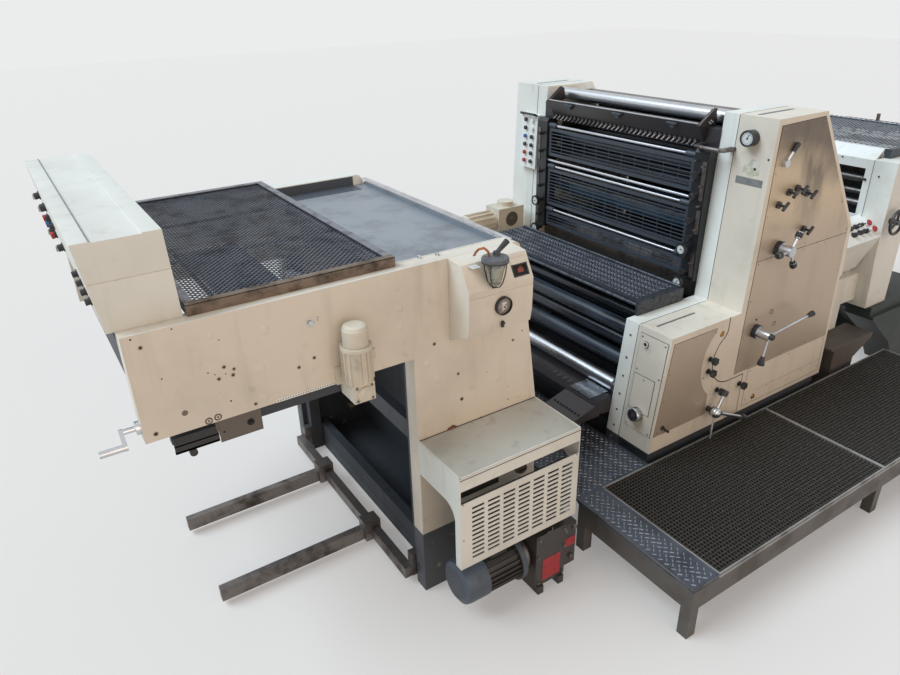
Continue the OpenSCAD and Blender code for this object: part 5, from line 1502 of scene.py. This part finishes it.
slab(work, (-1.740, -1.0740, 0.3195), (-1.735, -1.0400, 0.3400))
make("pump_bolts", work, "worn_steel")
# Dark sheets behind the grille: painted shade of the inside of the pedestal.
work = bmesh.new()
slab(work, (TRAY_LEFT + 0.030, TRAY_NEAR + 0.044, 0.330),
     (TRAY_RIGHT - 0.030, TRAY_NEAR + 0.046, 0.640))
slab(work, (TRAY_LEFT + 0.012, TRAY_NEAR + 0.070, 0.640),
     (TRAY_LEFT + 0.230, TRAY_NEAR + 0.074, 0.745))
make("grille_painted_shade", work, black_iron, slot="guard_black", smooth=0)
work = bmesh.new()
HOSE_BEND = 0.085


def on_hose(degrees):
    a = math.radians(degrees)
    return Vector((TRAY_RIGHT - 0.130 + HOSE_BEND * math.cos(a), TRAY_NEAR + 0.120,
                   0.640 + HOSE_BEND * math.sin(a)))


for i in range(9):
    a = math.radians(200 - i * 16)
    turned(work, [(0.024, -0.004), (0.028, 0), (0.024, 0.004)], on_hose(200 - i * 16),
           (-math.sin(a), 0, math.cos(a)), 18)
run(work, [on_hose(d) for d in range(205, 60, -8)], 0.0225, 14)
make("tray_hose", work, taupe, slot="angle_brown")

MOTOR_X, MOTOR_Y = -2.462, -0.850
work = bmesh.new()
slab(work, (MOTOR_X + 0.050, MOTOR_Y - 0.012, 1.262), (MOTOR_X + 0.066, MOTOR_Y + 0.012, 1.300))
turned(work, collar(0.0485, 0.0500, 0, 0.012), (MOTOR_X, MOTOR_Y, 1.321), UP, 32)
turned(work, disc(0.018, 0.004, 0.002), (MOTOR_X, -0.898, 1.159), TO_OPERATOR, 24)
make("motor_trim", work, "motor_cream", bevel=0.001)
work = bmesh.new()
for dx, z in ((-0.028, 1.186), (0.028, 1.186), (-0.028, 1.136), (0.028, 1.136)):
    turned(work, disc(0.005, 0.004), (MOTOR_X + dx, -0.890, z), TO_OPERATOR, 10)
make("motor_bolts", work, "worn_steel")
work = bmesh.new()
turned(work, [(0, 0.016), (0.014, 0.016), (0.016, 0.004), (0.046, 0.004), (0.048, 0)],
       (-0.596, 0.7140, 1.044), TO_OPERATOR, 28)
turned(work, disc(0.030, 0.003, 0.002), (-0.9300, 0.784, 1.040), TO_DELIVERY, 24)
make("gearmotor_flange", work, taupe, slot="angle_brown")
work = bmesh.new()
slab(work, (-1.086, -0.588, 0.5035), (-0.962, -0.432, 0.5048))
slab(work, (-0.966, -0.590, 0.5030), (-0.960, -0.430, 0.5075))
make("duct_sheet", work, "bright_steel", smooth=0)
work = bmesh.new()
for i in range(9):
    y = -0.395 + i * 0.040
    slab(work, (-1.060, y, 0.5015), (-1.012, y + 0.012, 0.5030))
make("duct_slots", work, "worn_steel", smooth=0)
print("tray, pump and motor done")

# %% [markdown]
# ## Feeder: wire top, inside and desk
# Behind the tower the feeder shows a top of diamond wire between dark rails, a white front with
# barred windows over dark sheets of painted shade for its inside, and a small sloping desk with
# selectors and two red mushroom buttons. The buttons lean 19 degrees further out than the desk
# itself, as they do in the frame.

# %% Feeder
mesh_low, mesh_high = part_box("feeder_mesh_top")
work = bmesh.new()
diamond_mesh(work, (mesh_low[0] + 0.004, mesh_low[1] + 0.018),
             (mesh_high[0] - 0.004, mesh_high[1] - 0.018), mesh_high[2] - 0.006, 0.034, 0.0042,
             0.0024)
wire_grey = dirty_metal("grey wire", tone(150, 156, 164), tone(84, 84, 86), 0.34, scale=14,
                        metal=0.7)
make("feeder_wires", work, wire_grey, slot="guard_black", smooth=0)
work = bmesh.new()
slab(work, (mesh_high[0] - 0.026, mesh_low[1] + 0.02, mesh_high[2] - 0.0002),
     (mesh_high[0] - 0.004, mesh_high[1] - 0.02, mesh_high[2] + 0.0035))
slab(work, (mesh_low[0] + 0.004, mesh_low[1] + 0.02, mesh_high[2] - 0.0002),
     (mesh_low[0] + 0.022, mesh_high[1] - 0.02, mesh_high[2] + 0.0015))
make("feeder_rails", work, "bright_steel", bevel=0.0008)
work = bmesh.new()
y = mesh_low[1] + 0.04
while y < mesh_high[1] - 0.04:
    slab(work, (mesh_high[0] - 0.025, y, mesh_high[2] + 0.0030),
         (mesh_high[0] - 0.005, y + 0.012, mesh_high[2] + 0.0050))
    y += 0.036
make("feeder_rail_notches", work, "button_black", smooth=0)

# Dark sheets behind the barred windows: painted shade of the feeder's inside.
feeder_painted_shade = worn_paint("painted shade inside the feeder", tone(78, 82, 84), tone(40, 38, 36), dirt=0.8)
work = bmesh.new()
slab(work, (1.300, -0.655, 0.985), (1.304, 0.655, 1.415))
slab(work, (1.100, -0.655, 1.428), (1.300, 0.655, 1.431))
slab(work, (1.036, -0.655, 0.980), (1.300, 0.655, 0.984))
make("feeder_inside_shade", work, feeder_painted_shade, slot="guard_black", smooth=0)
FEEDER_FRONT = 1.010
work = bmesh.new()
for dx, z, r in ((0.070, 1.150, 0.021), (0.090, 1.215, 0.018), (0.070, 1.300, 0.023),
                 (0.130, 1.340, 0.019)):
    rod(work, (FEEDER_FRONT + dx, -0.640, z), (FEEDER_FRONT + dx, 0.640, z), r, 20)
make("feeder_rollers", work, "worn_steel")

# %% [markdown]
# ## Tower: the dark behind the cylinders
# No daylight falls through the tower. A thin dark sheet behind the cylinders is painted shade;
# it also stands for the rear guard and the further rollers, which the frame lacks.

# %% Rear screen
# A flat dark sheet: painted shade behind the cylinders.
work = bmesh.new()
slab(work, (0.352, -0.628, 0.330), (0.355, 0.628, 1.205))
lower, upper = Vector((0.3535, 0, 1.205)), Vector((-0.045, 0, 1.800))
middle, along = (lower + upper) / 2, (upper - lower).normalized()
lean_back = Matrix(((along.z, 0, along.x, 0), (0, 1, 0, 0), (-along.x, 0, along.z, 0), (0, 0, 0, 1)))
bmesh.ops.create_cube(work, size=1, matrix=Matrix.Translation(middle) @ lean_back
                      @ Matrix.Diagonal((0.003, 1.256, (upper - lower).length, 1)))
make("rear_screen_painted_shade", work, black_iron, slot="guard_black", smooth=0)

# %% [markdown]
# ## Feeder: catch, seams and sloping desk
# The catch and its studs lie on the white front. The desk hangs beside it on the operator side.

# %% Feeder front and desk
window = Face((FEEDER_FRONT, 0, 0), UP, TO_DELIVERY)
work = bmesh.new()
window.plate(work, (0.624, 1.308), (0.640, 1.320), 0.006)
window.turn(work, disc(0.005, 0.005), 0.708, 1.345, 12)
window.turn(work, disc(0.0045, 0.004), 0.470, 1.422, 12)
make("feeder_catch", work, "button_black")
work = bmesh.new()
window.stroke(work, (0.6640, 0.760), (0.6640, 1.432), 0.0030)
make("feeder_seams", work, seam_dark, slot="fitting_dark", smooth=0)

DESK_SLOPE, BUTTON_LEAN = math.radians(35.5), math.radians(54.5)
DESK_OUT = Vector((0, -math.sin(BUTTON_LEAN), math.cos(BUTTON_LEAN)))
DESK_X, DESK_Y, DESK_Z = 1.0097, -0.692, 1.084


def on_desk(dx, down):
    """A place on the desk, measured from its end at the feeder and down from its upper edge."""
    return Vector((DESK_X + dx, DESK_Y - down * math.cos(DESK_SLOPE),
                   DESK_Z - down * math.sin(DESK_SLOPE)))


work = bmesh.new()
for down in (0.030, 0.078):
    turned(work, [(0, 0.036), (0.012, 0.035), (0.019, 0.029), (0.019, 0.023), (0.010, 0.021),
                  (0.010, 0.004)], on_desk(-0.040, down), DESK_OUT, 26)
make("desk_mushrooms", work, button_red, slot="button_black")
work = bmesh.new()
for dx, down, radius in ((-0.096, 0.028, 0.0105), (-0.100, 0.076, 0.0135), (-0.150, 0.030, 0.0135),
                         (-0.156, 0.074, 0.0135), (-0.215, 0.032, 0.0135),
                         (-0.222, 0.076, 0.0135)):
    at = on_desk(dx, down)
    turned(work, [(0, 0.0235), (radius, 0.0225), (radius + 0.0004, 0.004), (radius + 0.004, 0.0045),
                  (radius + 0.0045, 0)], at, DESK_OUT, 20)
    rod(work, at + DESK_OUT * 0.022 - Vector((0.012, 0, 0)),
        at + DESK_OUT * 0.030 + Vector((0.012, 0, 0)), 0.0042, 8)
make("desk_selectors", work, "button_black")
work = bmesh.new()
for dx, down in ((-0.100, 0.076), (-0.150, 0.030)):
    at = on_desk(dx, down) + DESK_OUT * 0.032
    slab(work, at - Vector((0.008, 0.002, 0.002)), at + Vector((0.008, 0.002, 0.002)))
make("desk_marks", work, button_white, slot="white_paint", smooth=0)

# %% [markdown]
# ## Drive side panel
# The remote panel beside the tower has a bumper bar on top and two columns of round buttons.

# %% Remote panel
panel_low, panel_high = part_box("remote_panel")
FIRST_ROW, ROW_PITCH, COLUMNS = 1.351 + 0.044, 0.050, (0.040, 0.102)
PANEL_DEPTH = 0.033


def on_remote(column, row):
    """A button's place on the panel, which stands off the leaning tower front."""
    foot, lean, _ = TOWER_FRONT
    z = FIRST_ROW + row * ROW_PITCH
    x = foot[0] + (z - foot[2]) * lean[0] / lean[2] - PANEL_DEPTH
    return Vector((x, 0.672 + COLUMNS[column], z))


def remote_caps(name, places, finish):
    work = bmesh.new()
    for column, row in places:
        turned(work, [(0, 0.0175), (0.0095, 0.0175), (0.0125, 0.0150), (0.0125, 0.005)],
               on_remote(column, row), TO_DELIVERY, 20)
    make(name, work, finish, slot="button_black")


remote_caps("remote_black", [(0, 0), (0, 1), (0, 2), (0, 3), (1, 5), (1, 4), (1, 2)],
            finishes["button_black"])
remote_caps("remote_blue", [(1, 3)], button_blue)
remote_caps("remote_red", [(1, 0), (1, 1)], button_red)
work = bmesh.new()
y0, y1, z = panel_low[1] + 0.012, panel_high[1] - 0.012, panel_high[2] + 0.006
x = panel_low[0] + 0.006
rod(work, (x, y0, z), (x, y1, z), 0.007, 12)
for y in (y0, y1):
    rod(work, (x, y, z), (x + 0.028, y, z - 0.012), 0.007, 12)
make("remote_bumper", work, "button_black")
print("feeder and remote panel done")
